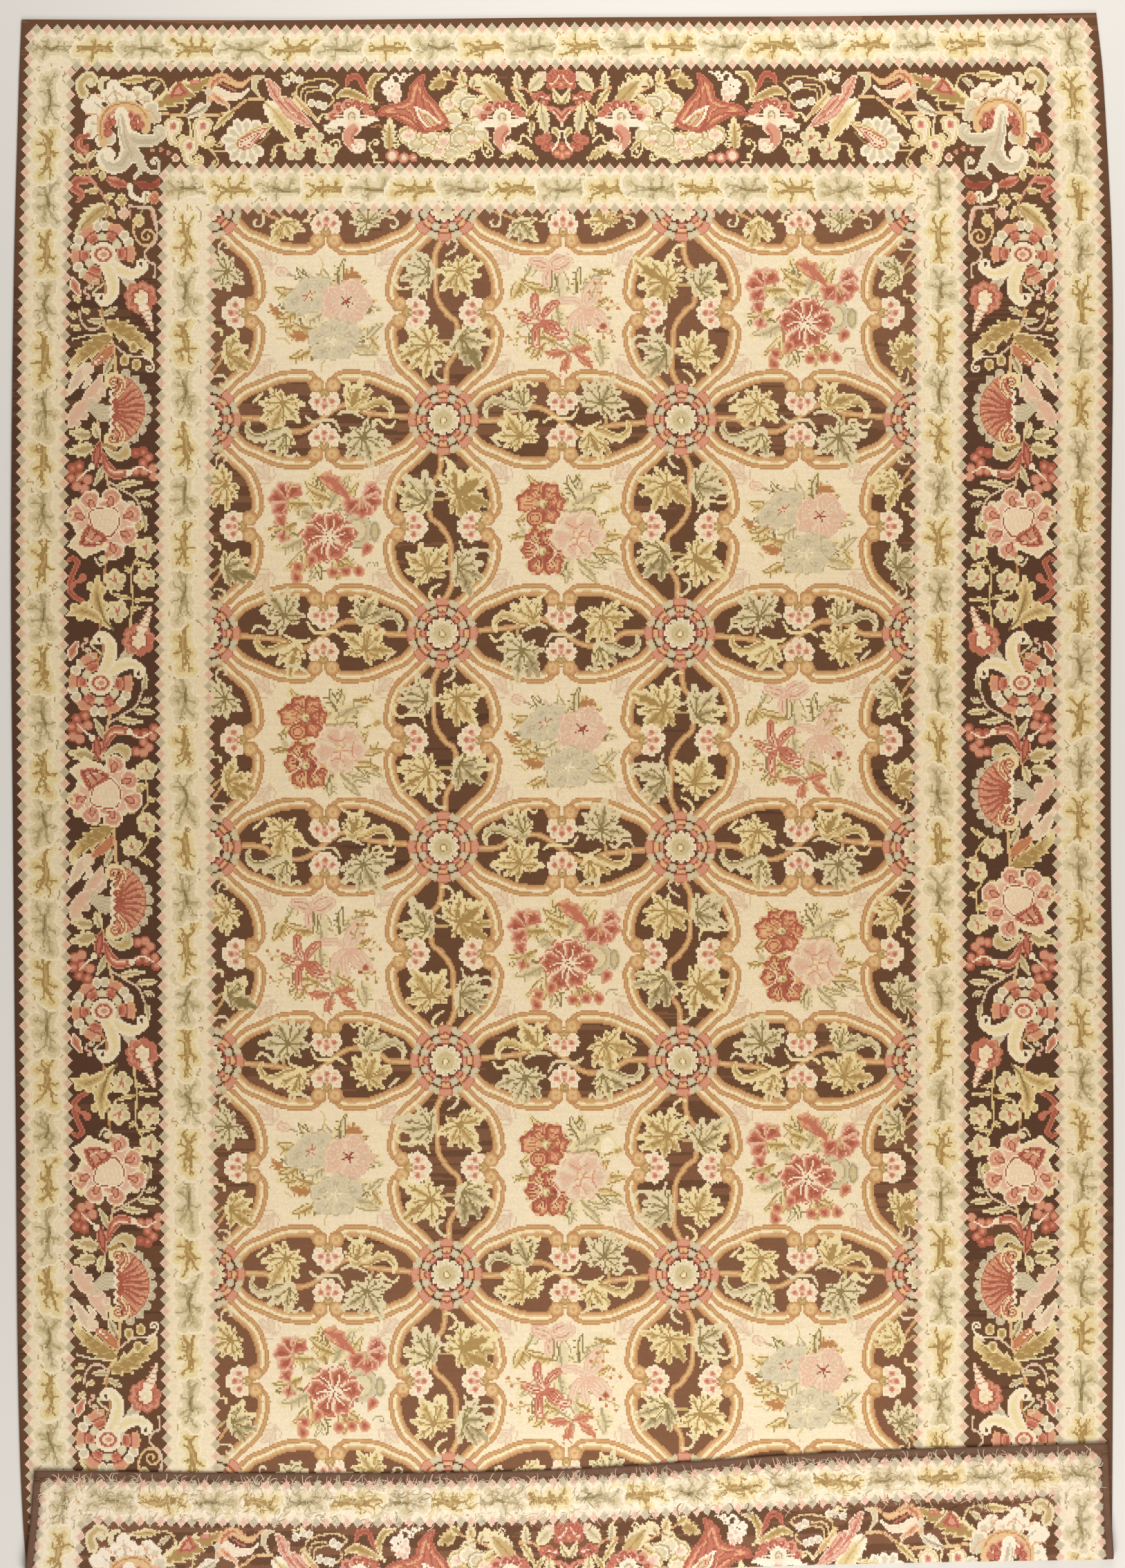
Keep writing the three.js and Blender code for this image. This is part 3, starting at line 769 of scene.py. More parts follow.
def corner(p):
    """The great ruffled flower in the corner, with its fluted trunk, and what grows round it."""
    p.hook("113,134 108,120 116,110", 9, 1.0, (17, 15, 8, 5), "butter 2 mist 4.5 moss")
    p.sweep("121,134 130,136 140,137", 2.4, "honey")
    p.sweep("150,110 140,114 138,124 142,134", (5, 9, 8, 4), "butter 2 mist")
    leaf(p, 205, 112, 165, 112, 17, "butter 2 straw 4 moss", "olive", -0.1)
    p.sweep("200,112 216,110 228,114 234,124", 3, "straw")
    leaf(p, 224, 116, 210, 130, 12, "mist 2 celadon", "sage")
    cream = places("157,124 148,137 168,134 193,133 205,141 213,155 218,168 131,145 121,152 134,158 127,177 "
            "125,190 143,203 152,200 158,144 180,140")
    blobs(p, cream, 11, "ivory 2 white 5 cream 8 silver")
    for x, y in places("157,124 194,134 214,157 130,147 128,178 176,138 146,139 206,144"):
        p.line([(x, y), (174 + (x - 174) * 0.62, 182 + (y - 182) * 0.62)], (2, 4), "slate")
    p.sweeps(("130,134 146,142 158,130 170,138", "186,128 196,142 210,146", "118,164 134,166 136,182",
            "205,158 215,162 222,174"), 2, "peach")
    p.sweep("144,206 141,178 152,158 172,151 192,155 206,172 205,188", (13, 15, 13), "honey")
    p.sweep("141,200 139,178 150,156 172,148 194,153 208,170", 2.4, "rust")
    blobs(p, "150,192 149,180 154,169 163,163 158,176", 7.5, "rose 1.6 red 4 coral")
    blobs(p, "182,165 192,170 197,180 188,177 184,187", 7.5, "rose 1.6 red 4 coral")
    p.dots("156,168 161,182 178,172 194,175", 2, "shell")
    trunk = [(curve("169,164 174,184 179,206 186,226"), (20, 19, 25, 22)),
             (curl("184,200 200,204 218,203 228,196", 8, -0.9), (24, 16, 9, 5)),
             (curl("180,222 172,238 156,242 145,234", 10, 1.05), (24, 20, 12, 5)),
             (curve("186,216 196,232 200,246 190,258"), (20, 13, 9, 5)),
             (curl("198,226 208,246 224,250 226,236", 7, -0.8), (9, 6, 5, 4))]
    p.fill(trunk, "ivory 2.2 silver 5 grey 8 slate", (0.1, 0.06))
    p.sweeps(("172,170 176,200 183,222", "165,172 169,196 176,218", "186,204 204,208 216,206",
            "176,228 164,238 152,236"), (2, 3, 1.6), "slate")
    p.sweep("176,182 182,206 190,226", (2, 2.6, 1.6), "mauve")
    p.sweep("121,196 110,200 108,211 117,219 121,211", (7, 12, 13, 6), "coral 2 red 4.5 rose")
    p.dots("216,218 228,217 239,222", 3.4, "rose 2 coral")
    p.dot(250, 229, 6, "shell 2.4 rose")


def corner_side(p):
    """The twig of small leaves and curling buds below the corner flower."""
    p.sweep("118,217 121,234 125,256 137,272 148,288 155,304", (3.4, 4), "rose")
    for x, y, to_x, to_y, tone in (
        (118, 236, 99, 222, PALELEAF), (120, 234, 132, 216, PALELEAF),
        (123, 250, 101, 251, "butter 2 moss"), (126, 252, 141, 241, "butter 2 moss"),
        (143, 262, 144, 244, "butter 2 straw"), (140, 276, 118, 280, "butter 2 moss"),
        (148, 288, 160, 280, "butter 2 mist"),
    ):
        leaf(p, x, y, to_x, to_y, 13, tone, "moss", 0.1, 3)
    p.sweep("124,262 108,262 102,272 114,282 108,293", (9, 14, 13, 11, 4), "rose 1.8 coral 4.5 red")
    leaf(p, 150, 259, 182, 277, 17, "rose 1.6 coral 4.5 red", "red", -0.2, 3, 0.15)
    p.sweep("192,264 206,270 222,268 226,260", (5, 12, 9, 4), "red 2 berry")
    p.hook("184,270 188,284 204,292", 8, -1.1, (8, 6, 4), "ivory")
    p.sweep("207,280 205,300 196,316", 2.4, "sage")
    for x, y, tone in (
        (172, 291, "butter 2 moss 4 rust"), (176, 310, "shell 2 blush"),
        (198, 320, "butter 2 straw 5 rust"), (220, 288, "peach 2 coral 4 rust"),
    ):
        blobs(p, ((x - 4, y), (x + 4, y), (x, y - 5), (x, y + 4)), 5.4, tone)
    for x, y in places("184,303 214,300 218,312"):
        p.line([(x, y), (x + 2, y + 14)], 2.2, "rose")
    p.sweep("196,303 216,303 222,330", 2.6, "blush")


def top_border(p):
    """Half of the border along an end, from its left corner to the middle."""
    leaf(p, 216, 154, 297, 108, 38, "butter 2 straw 4 olive", "olive", 0.05, 6, 0.38)
    p.fill(["226,146 236,142 246,122 256,114 260,126 270,132 258,138 240,141"], "coral 2 red 5 rose")
    p.fill([arc(277, 116, 8, 4)], "coral 2 rose")
    p.line("262,122 272,131", 2.4, "shell")
    stem = curve("228,162 246,165 267,166 310,165 333,158 353,143 377,141")
    p.fill([(stem, 4.4)], "honey 1.8 rust")
    p.sweep("262,146 262,158 254,165", 3, "straw")
    p.fill([petal(30, 17) @ np.array([[0.9, -0.44], [0.44, 0.9]]) + (266, 165)], "ivory 2 grey 5 silver")
    leaf(p, 266, 166, 302, 158, 17, "ivory 2 grey 4.5 silver", "pewter", -0.3, 4)
    leaf(p, 334, 159, 302, 184, 15, "butter 2 straw 4 moss", "olive", -0.1, 3)
    # the peach tulip
    p.sweep("300,142 302,120 316,109 330,116 344,121 361,108", (8, 15, 14, 10, 9, 4),
            "peach 2 honey 5 coral 8 peach")
    p.sweep("308,128 328,138 344,136 356,127", (12, 14, 9, 4), "ivory 2 shell 5 cream")
    p.sweep("302,134 312,142 322,148 328,156", (9, 12, 8, 4), "shell 2 peach 4.5 coral")
    p.sweep("310,117 322,122 336,130", (2, 3), "coral")
    p.dot(297, 131, 6, "pink 2 grey")
    p.sweep("294,136 296,150 290,164", 2.6, "grey")
    p.sweep("376,108 366,112 364,124 372,138", (6, 11, 9, 4), "mist 2 celadon 4.5 silver")
    # the long trumpet with its green underside, and the daisy it opens over
    leaf(p, 380, 146, 432, 196, 36, "ivory 2 butter 5.5 straw", "moss", 0.16, 5, 0.3)
    p.fill(["378,110 388,112 404,126 402,137 418,139 428,152 440,166 458,189 440,184 424,178 408,168 "
            "398,152 386,136"], "shell 1.6 rose 4 blush 7 rose")
    p.sweeps(("384,116 396,138 412,160", "400,146 420,162 446,182",
            "408,142 424,158 438,170"), (1.6, 3, 1.6), "coral")
    p.sweep("404,138 410,152 428,168", 1.8, "shell")
    leaf(p, 420, 134, 452, 176, 14, "butter 2 tan", "tan", -0.1, 4)
    daisy = p.at(352, 204)
    for k in range(11):
        turn = 40 + 360 / 12.4 * k
        daisy.at(0, 0, turn).fill([petal(36 if k % 2 else 33, 16, 0.68)], "white 2 ivory 4 silver 6 grey")
    p.sweep("390,179 370,190 352,206 346,208", (7, 18, 24, 20), "butter 2 moss 4 butter")
    p.sweep("380,186 366,196 354,206 347,208", (5, 14, 20, 17), "coral 2.4 shell 4.6 red 6 shell")
    p.sweep("386,192 378,202 366,212", 2, "olive")
    leaf(p, 394, 212, 392, 234, 10, "butter 2 straw", "moss", 0.1, 3)
    # hearts with curled tails under the stem
    p.sweep("267,168 271,184 272,202", 3, "butter")
    for x, y, flip, turn in ((247, 184, False, 0), (290, 184, False, 8), (271, 213, False, 0)):
        q = p.at(x, y, turn, 1, flip)
        q.fill([arc(-2, -1, 14, 15), arc(6, -7, 7), (curl("-6,8 -2,20 8,25", 8, -0.9), (15, 10, 6, 5))],
               "butter 2 straw 4.4 ivory 6.4 shell")
        q.fill([arc(-1, -2, 7, 8)], "shell 2 rose 4 coral")
    p.sweep("293,205 302,218 322,219", (3, 4.4), "straw")
    p.hook("300,216 308,226 312,234", 5, 1, 3, "straw")
    p.hook("304,208 312,212", 5, -0.8, 3, "straw")
    # stems with pale berries, and three small blossoms
    p.sweeps(("424,140 428,122 448,114 470,112 486,120 480,128", "432,142 436,126 456,124",
            "438,150 442,132 468,130 480,142 474,152"), 2.8, "straw")
    p.dots("410,117 421,111 430,113 466,124 474,128 458,150 466,152 448,148", 6, "white 2 silver 4 grey")
    p.sweep("396,211 414,207 436,202 448,210 466,222", 3, "straw")
    for x, y, r in places("451,200,15 424,217,16 470,223,15"):
        blossom(p.at(x, y), r)
    p.hook("458,176 462,166 470,164", 5, 0.9, 4, "butter")
    leaf(p, 466, 182, 488, 194, 16, "ivory 2 mist 4 celadon", "sage", -0.2, 4)
    p.hook("476,206 486,202 490,210", 5, 0.9, 3, "butter")
    # the scarlet hook and the leaves behind the first orchid
    p.sweep("499,121 503,111 515,109 523,122 531,137", (6, 10, 9, 8, 3), "coral 2 red")
    p.sweep("486,138 500,132 520,140 544,149", (6, 15, 12, 3), GREENLEAF)
    p.sweep("537,143 534,124 542,110 556,106", (4, 12, 12, 4), GREENLEAF)
    p.hook("562,114 570,106 580,112", 5, -0.9, 3.4, "ivory")
    p.hook("596,104 588,108 582,116", 4, 0.9, 3, "ivory")
    orchid(p.at(507, 164))
    # the red fan and its peony
    blobs(p, "556,122 564,118 572,124 558,132 567,130 575,134 563,140 572,143", 6,
          "white 2 shell 4 blush")
    peony = places("650,150 664,142 679,150 690,161 689,179 693,196 682,205 668,216 650,222 632,218 614,214 "
            "600,205 589,196 655,172 672,188 640,205 620,200 664,200")
    blobs(p, peony, 15, "butter 2 straw 6 butter")
    tones = ("moss 1.2 ivory 4.5 shell 8 blush", "moss 1.3 ivory 5 mist", "sage 1.2 ivory 4 celadon 8 mist")
    for k, (x, y) in enumerate(peony):
        p.fill([arc(x, y, 13 + k % 3, 11 + k % 2 * 2)], tones[k % 3], (0.14, 0.16))
    for x, y in places("660,160 676,176 652,212 628,208 680,196 612,204 664,190"):
        p.sweep([(x - 8, y), (x, y - 5), (x + 7, y + 3)], 2, "moss")
    p.dots("590,190 668,208 686,158", 4, "shell 2 blush")
    p.fill(["540,170 547,156 560,150 578,147 588,142 592,122 604,109 616,105 613,122 619,136 632,149 "
            "643,164 650,176 640,184 626,192 612,194 598,188 584,180 568,171 552,168"],
            "coral 1.8 red 4 coral 7 peach 10 coral")
    p.sweeps(("612,190 586,168 548,163", "618,186 600,160 606,116", "610,186 590,160 566,156",
            "624,184 612,152 610,128", "632,182 626,162 618,146"), (4, 3, 1.6), "red")
    p.sweep("586,156 596,164 600,176", 2.4, "peach")
    p.line("600,155 606,170 618,184", 3.4, "ivory")
    p.line("600,155 616,162 636,178", 3.4, "ivory")
    p.fill(["606,160 622,166 634,180 622,184 612,174"], "honey 2 coral 4 celadon")
    p.sweep("622,190 640,186 652,178", 3, "coral")
    # leaves on coral stems above and beside the peony
    p.sweep("714,146 692,130 662,118 632,106", (3.6, 2.4), "peach")
    for x, y, to_x, to_y, wide, tone in (
        (644, 112, 624, 130, 17, "straw 2 moss 4 olive"), (652, 112, 636, 104, 11, GREENLEAF),
        (672, 121, 664, 103, 13, "butter 2 straw"), (684, 126, 688, 106, 14, PALELEAF),
        (676, 124, 658, 132, 13, "butter 2 mist"), (704, 142, 690, 154, 18, "butter 2 straw"),
    ):
        leaf(p, x, y, to_x, to_y, wide * 1.5, tone, "olive", 0.15, 4)
    leaf(p, 731, 150, 694, 104, 34, "butter 2 mist 4.5 moss", "olive", -0.12, 6, 0.34)
    p.sweep("741,128 758,128 768,134 780,150 798,158", (4, 3), "peach")
    leaf(p, 752, 128, 746, 104, 17, "butter 2 mist 4 celadon", "sage", 0.1, 4)
    leaf(p, 768, 130, 790, 104, 25, "butter 2 mist 4.5 celadon", "sage", 0.1, 5)
    leaf(p, 744, 130, 766, 156, 16, "butter 2 straw 4 moss", "olive", 0.1, 4)
    orchid(p.at(727, 166))
    p.sweep("646,232 669,220 692,207 710,200", (3.4, 3), "straw")
    p.hook("698,206 697,216 700,224", 8, -1.1, 3, "butter")
    p.hook("672,220 674,228 680,232", 5, -0.9, 3, "butter")
    p.hook("664,222 652,230", 4, -0.6, 3, "butter")
    # under the fan
    leaf(p, 561, 216, 561, 172, 26, "butter 2 mist 4 moss", "olive", 0.04, 5, 0.4)
    p.sweep("536,183 548,182 556,190", 2.6, "amber")
    p.hook("538,222 532,212 538,204", 5, 1, 3, "butter")
    p.hook("552,236 542,236 538,228", 4, 1, 3, "butter")
    for x, y, r in places("566,226,10 583,229,8 597,229,6"):
        p.dot(x, y, r, "coral 1.8 rose 4 shell")
    # the middle of the border
    p.sweep("740,208 752,206 756,196 764,200 770,208", 3, "butter")
    leaf(p, 748, 214, 779, 230, 18, GREENLEAF, "straw", 0.06, 4)
    blobs(p, "776,141 784,137 794,142 788,148", 6, "coral 2 red 4 rose")
    p.line("784,140 796,144", 2, "shell")
    leaf(p, 784, 152, 788, 194, 22, "butter 2 mist 4 celadon", "sage", -0.1, 5, 0.3)
    p.sweep("794,156 806,162 815,174 818,186", (6, 12, 12, 5), "coral 2 rose 4.4 red")
    p.sweep("801,162 810,172 814,184", 1.8, "shell")
    for spots in ("797,112 805,106 815,108 806,118 814,122 800,124",
                  "782,204 792,200 798,214 806,222 814,214 816,226 790,212"):
        blobs(p, spots, 7.5, "coral 1.8 red 3.6 coral 6 peach")
    p.sweep("798,122 806,118 812,108", 2, "shell")
    p.sweep("800,218 808,206 812,190", (4, 2.4), "ivory")
    p.hook("776,108 784,104 790,110", 4, 0.8, 2.6, "mauve")
    for x, y, to_x, to_y, wide in places("812,150,798,132,15 800,186,812,196,13 764,168,774,146,13 "
            "770,176,772,198,14 700,206,716,216,12 742,222,726,232,13"):
        leaf(p, x, y, to_x, to_y, wide, PALELEAF if wide > 13 else GREENLEAF, "olive", 0.2, 3)
    for x, y, to_x, to_y in places("700,116,712,108 566,196,574,206 470,236,456,232 404,108,416,104"):
        p.hook([(x, y), ((x + to_x) / 2, (y + to_y) / 2 + 2), (to_x, to_y)], 5, 0.9, 2.8, "butter")


def target_flower(p):
    """A round flower of coral and grey blocks, with ivory plumes and a trunk that ends in a rosette."""
    for a, warm in places("-95,0 -62,1 -33,0 0,1 -128,1 -160,0 172,1 143,0 114,1"):
        q = p.at(147, 368, a)
        if warm:
            q.fill([ring_block(32, 46, 17, 2)], "peach 3 rose")
            q.line("33,-9 34,0 33,9", 3.4, "red")
            q.fill([ring_block(21, 31, 19, 2)], "rose 1.6 coral")
            q.line("24,-5 24,5", 2.6, "red")
        else:
            q.fill([arc(40, -6, 8, 7), arc(40, 6, 8, 7)], "ivory 2.4 silver 5 grey")
            q.line("30,-10 32,0 30,10", 2.8, "umber")
            q.fill([ring_block(20, 29, 18, 2)], "silver 2 mist")
    p.sweep("143,400 152,418 146,440 148,458", 3.4, "gold")
    p.sweep("156,370 172,392 190,416", (20, 13, 15), "silver 2.5 grey 5 slate")
    plume = "ivory 2.4 cream 5.5 butter"
    p.hook("152,378 168,390 188,397 204,392", 9, -0.95, (14, 19, 16, 9, 5, 4, 3), plume)
    p.hook("148,380 158,398 163,420 155,436", 10, 1.0, (16, 20, 17, 9, 5, 4, 3), plume)
    p.fill([arc(147, 368, 19, 17)], "cream 2 ivory 4 shell")
    p.fill([arc(147, 369, 13, 11)], "coral 1.6 red 3.6 shell")
    p.fill([arc(148, 369, 7, 5.5)], "shell 2 rose")
    p.hook("140,404 134,408 132,416", 4, 1, 3, "silver")
    p.hook("148,412 140,418 134,424", 4, -1, 3, "mist")
    p.hook("123,416 121,424 127,428", 4, 0.9, 3, "blush")
    p.sweep("104,404 106,414 113,426", (6, 15, 9), "ivory 2 rose 4.5 coral")
    blobs(p, arc(202, 431, 15.5, None, 10, 325, 7), 9, "coral 1.6 rose 4.4 coral")
    blobs(p, arc(202, 431, 7, 7.5, 30, 330, 5), 6.8, "red 2 shell 4 ivory")
    p.fill([arc(202, 430, 6, 7)], "butter 2 shell 3.6 ivory")
    p.sweep("207,447 214,460 219,478", (15, 11, 4), "shell 2 ivory")
    for k in range(4):
        p.line([(202 + 3.6 * k, 453 + 7 * k), (216 + 2.4 * k, 449 + 7 * k)], (2.6, 1.8), "rose")


def side_tendrils(p):
    """The pale leaf and the winding pink tendrils above the round flower."""
    leaf(p, 150, 299, 100, 330, 36, "butter 2 mist 5 moss", "olive", -0.22, 6, 0.36)
    leaf(p, 150, 298, 165, 316, 15, "butter 2 straw", "moss", 0.1, 3)
    p.sweep("152,300 144,314 138,326", 3, "sage")
    p.sweep("154,300 150,322", 3, "gold")
    p.sweep("183,299 206,301 218,304 224,330 222,350 207,366 214,380 222,384 222,402", 3.6, "mauve")
    p.line(curl("194,318 190,334 196,349", 15, -1.5, 0.12), (3.4, 3.6), "honey")


def oak_leaf(pen):
    """A long lobed leaf along +x whose tip curls over, lobed on its upper side."""
    pen.fill([serrated(74, 36, 5, 0.12, 0.42), (curl("40,4 58,8 74,14", 7, 1.0), (16, 13, 8, 5, 4, 3))],
             "butter 2.2 straw 5 moss 8 olive", (0.02, -0.16))
    pen.sweep("0,2 24,5 50,10 66,14", (4, 4.4, 2), "olive")
    for x in (16, 32, 46):
        pen.line([(x - 4, 3 + x * 0.1), (x + 6, -7 + x * 0.1)], (2.6, 1.6), "moss")


def side_spray(p):
    """Oak-like leaves to both sides, a flame bud and round buds on a thin stalk."""
    p.sweep("143,450 147,462 157,485 164,502 168,540", (3.4, 4.4), "honey")
    p.sweep("113,450 119,470 134,478 150,469", 3.4, "mauve")
    for x, y in places("110,434 123,451 104,458 109,476"):
        leaf(p, x + 6, y + 2, x - 7, y - 3, 12, "butter 2 mist 4 celadon", "moss", 0.1, 3)
    leaf(p, 148, 456, 170, 448, 13, "mist 2 celadon", "sage", -0.15, 3)
    leaf(p, 150, 464, 126, 468, 13, "mist 2 celadon", "sage", 0.15, 3)
    p.line("104,492 126,486 150,484", 3, "mist")
    oak_leaf(p.at(153, 468, 22))
    oak_leaf(p.at(161, 487, 153, 0.95, True))
    p.sweep("162,502 152,514 134,528", (7, 16, 15, 8), "peach 1.8 coral 4.5 rust")
    p.dots("142,521 147,516 138,525", 2, "ivory")
    p.sweep("166,501 186,515 213,516 206,512", 3.2, "mauve")
    p.hook("200,516 216,520 222,530", 7, 1.0, 3.2, "ivory")
    p.dots("193,503 180,522 197,528", 7.4, "butter 2 moss 4.5 olive", 8.4)
    leaf(p, 163, 518, 148, 542, 15, "mist 2 celadon 4.5 sage", "pewter", -0.1, 4)


def shell_fan(p):
    """A ribbed coral fan with a scalloped grey rim, scrolls, and plumes behind it."""
    p.fill([(curve("124,530 116,542 108,556 98,572"), (10, 20, 16, 5)),
            (curve("122,540 128,552 122,560"), (10, 11, 6))], "ivory 2 shell 4.5 mauve")
    blobs(p, "127,530 131,535 124,538", 6, "shell 2 pink")
    p.fill([(curve("122,590 132,570 142,556 146,546"), (16, 18, 15, 8)),
            arc(150, 560, 6), arc(148, 570, 6), arc(140, 576, 7)], "shell 2 mauve 4.5 blush")
    p.fill([(curve("134,582 118,590 108,604 104,616"), (15, 20, 19, 9)),
            arc(122, 602, 7), arc(102, 604, 6), arc(112, 614, 6)], "shell 2 mauve 4.5 blush")
    for k in range(5):
        p.sweep([(161, 590 + 4 * k), (148, 588 + 5 * k), (130, 582 + 3 * k)], (5, 6.4, 4), "silver 1.8 slate")
    for a in range(-64, 70, 16):
        q = p.at(158, 592, a)
        q.fill([arc(55, 0, 8.6, 7.4)], "silver 1.6 slate 4.6 silver")
    fan = np.vstack([[(164, 566)], arc(158, 592, 53, None, -68, 68, 17), [(164, 626)]])
    p.fill([fan], "coral 1.6 rose 4 peach 7 rose")
    for a in range(-62, 66, 14):
        q = p.at(156, 592, a)
        q.sweep("12,0 26,1.5 40,-1 53,0.5", (3.6, 3, 3.8, 2.4), "red")
        q.sweep("16,3.5 30,5.6 50,6.4", (1.6, 2.6, 1.8), "coral")
    p.line([(162 + 2.6 * (-1) ** k, 564 + 5.4 * k) for k in range(13)], 4.4, "ivory")
    p.line([(166 + 2.4 * (-1) ** k, 566 + 5.4 * k) for k in range(12)], 2.2, "red")
    for y, flip in ((0, False), (1188, True)):
        q = p.at(0, y, 0, 1, flip)
        q.hook("170,574 178,562 176,548 166,543", 10, -1.25, (6, 8, 6.4, 4), "butter")
        q.hook("172,572 179,562 176,551 167,547", 7, -1.0, (3, 3.4, 2.4), "coral")


def trumpets(p):
    """Two flaring red flowers to the sides of the stem, with pale leaves about them."""
    p.sweep("142,610 146,636 150,662 157,696 162,712", (3.4, 4), "honey")
    p.sweep("157,696 180,710 198,722 208,746", 3.4, "mauve")
    for x, y, to_x, to_y, wide, tone in (
        (132, 630, 102, 630, 22, "butter 2 mist 4.5 moss"), (144, 634, 134, 614, 16,
                "butter 2 mist 5 celadon"),
        (136, 646, 102, 660, 27, "butter 2 mist 5 moss"), (150, 676, 142, 704, 14, "mist 2 celadon 4.5 sage"),
        (172, 704, 206, 694, 14, "butter 2 mist 4.5 moss"), (196, 716, 224, 708, 13,
                "butter 2 mist 4.5 moss"),
        (206, 728, 222, 730, 11, "mist 2 celadon"), (208, 744, 216, 768, 12, "mist 2 celadon 4 moss"),
    ):
        leaf(p, x, y, to_x, to_y, wide, tone, "sage", 0.14, 4, 0.34)
    p.sweep("136,646 152,644 168,650", (3, 6), "olive")
    p.sweep("152,648 168,660 182,656 184,642", (5, 12, 19, 4), "mist 2 celadon 5 moss")
    p.sweep("146,642 142,656 140,674", (7, 13, 14, 9), "rose 1.6 berry 4 coral")
    p.sweep("150,658 157,676 168,686 184,686", (8, 14, 15, 11), "rose 1.6 red 4 coral 5.6 rose")
    p.sweep("158,678 168,684 178,684", 2.4, "shell")
    blobs(p, "106,678 116,674 104,692 112,704 124,708 128,694 117,690", 8,
          "red 1.5 coral 3.4 rose")
    p.sweep("112,696 120,688 130,680", (2, 3.4), "ivory")
    p.dot(134, 676, 5, "ivory 2 cream")
    blobs(p, "198,656 208,654 216,662 208,670 222,678 224,690 198,682 210,682", 7.4,
          "red 1.5 coral 3.4 rose")
    p.sweep("190,682 204,676 220,684", (4, 2.4), "ivory")
    p.dot(188, 684, 5, "ivory 2 cream")


def pomegranate(p):
    """An open flower of seven pink petals about a pale shield, with a flame of red on its lower left."""
    q = p.at(153, 758)
    rim = "-41,-30 -16,-42 14,-44 38,-26 48,4 40,26 22,42 -44,-4"
    blobs(q, rim, 7.4, "butter 2 mist 4 moss")
    q.fill([curve("-46,-10 -34,-34 -8,-38 20,-38 42,-20 44,12 28,36 8,40 -20,30 -40,16", True)],
            "ivory 2.2 shell 4 pink 8 blush")
    petals = ((-19, -28, 250, 28), (9, -32, 280, 27), (35, -12, 338, 27), (30, 15, 22, 25), (12, 35, 66, 25),
              (-36, -11, 205, 28), (2, -20, 265, 20))
    for x, y, turn, size in petals:
        c, s = math.cos(math.radians(turn)), math.sin(math.radians(turn))
        q.at(x - 10 * c, y - 10 * s, turn).fill([petal(size, 30, 0.66, 0.04), arc(size * 0.6, 0, 13, 14)],
                                               "ivory 1.8 blush 3.6 rose 8 blush")
    for x, y, turn, _ in petals[:6]:
        o = q.at(x, y, turn)
        o.fill([arc(0, 0, 8.4, 5.2)], "red 2.2 rose")
    heart = curve("-24,-18 -4,-26 18,-24 24,-4 20,10 8,22 -6,16 -20,6", True)
    q.fill([heart], "ivory 2 red 4 ivory 6 shell")
    for k in range(5):
        q.line([(-12 + 7 * k, 10 - 2 * k), (-4 + 6 * k, -20 + k)], 1.6, "cream")
    q.fill(["-54,32 -40,14 -26,2 -10,16 4,30 -6,40 -22,46 -30,52 -38,42"],
           "ivory 2.6 butter 5 shell")
    q.fill(["-38,30 -32,14 -24,0 -12,8 2,18 6,24 -8,32 -26,34"], "coral 2 red 5 rose")
    q.sweeps(("-32,28 -24,14 -22,4", "-24,30 -14,18 -10,10", "-14,32 -4,24 2,20"), (3, 1.8), "berry")
    q.line("-28,20 -18,26 -6,28", 1.8, "shell")
    q.hook("-52,-14 -46,-16 -48,-6", 5, 1, 3, "butter")
    q.hook("14,46 8,50 0,54", 5, 1, 3, "mist")


def side_blossoms(p):
    """The scarlet curl, the two-bladed moss leaf, and four blossoms on a straw stem."""
    p.sweep("156,800 155,816 152,842 148,872", (4, 3), "gold")
    p.sweep("99,813 107,808 114,814 108,830 102,846 106,860 118,868 132,876", (4, 8, 8, 8, 8, 8, 5),
            "coral 2 red")
    p.hook("106,850 112,842 122,840", 5, -0.9, (6, 4), "coral")
    p.fill([(curve("162,908 148,886 142,862 144,834"), (4, 18, 20, 6)), arc(133, 848, 6, 7),
            arc(150, 854, 6, 7), arc(136, 870, 6, 7), arc(153, 876, 6, 7)], "butter 2.4 straw 5 moss 8 olive")
    p.fill([(curve("160,908 140,892 120,884 100,890"), (4, 16, 19, 5)), arc(110, 878, 7, 6),
            arc(126, 876, 7, 6), arc(118, 894, 7, 5)], "butter 2.4 straw 5 moss 8 olive")
    p.sweep("166,912 152,894 144,866", (3.6, 2), "khaki")
    p.sweep("190,906 194,870 192,828 202,804", (3.6, 3), "straw")
    for x, y, to_x, to_y in places("192,830,180,820 196,816,220,814 193,866,160,864 194,870,222,862 "
            "193,882,208,876"):
        leaf(p, x, y, to_x, to_y, 9, "butter 2 straw", "moss", 0.2, 3)
    for x, y, turn in places("212,793,20 168,840,0 212,837,-20 172,884,30"):
        blossom(p.at(x, y, turn), 16)
    p.hook("140,808 146,818 154,814", 5, -1, 3, "mist")


def side_border(p):
    """The border along a side, from its corner to the middle."""
    side_tendrils(p)
    side_spray(p)
    shell_fan(p)
    trumpets(p)
    pomegranate(p)
    side_blossoms(p)
    target_flower(p)
    target_flower(p.at(0, 1357, 0, 1, True))
    trumpets(p.at(0, 1743, 0, 1, True))


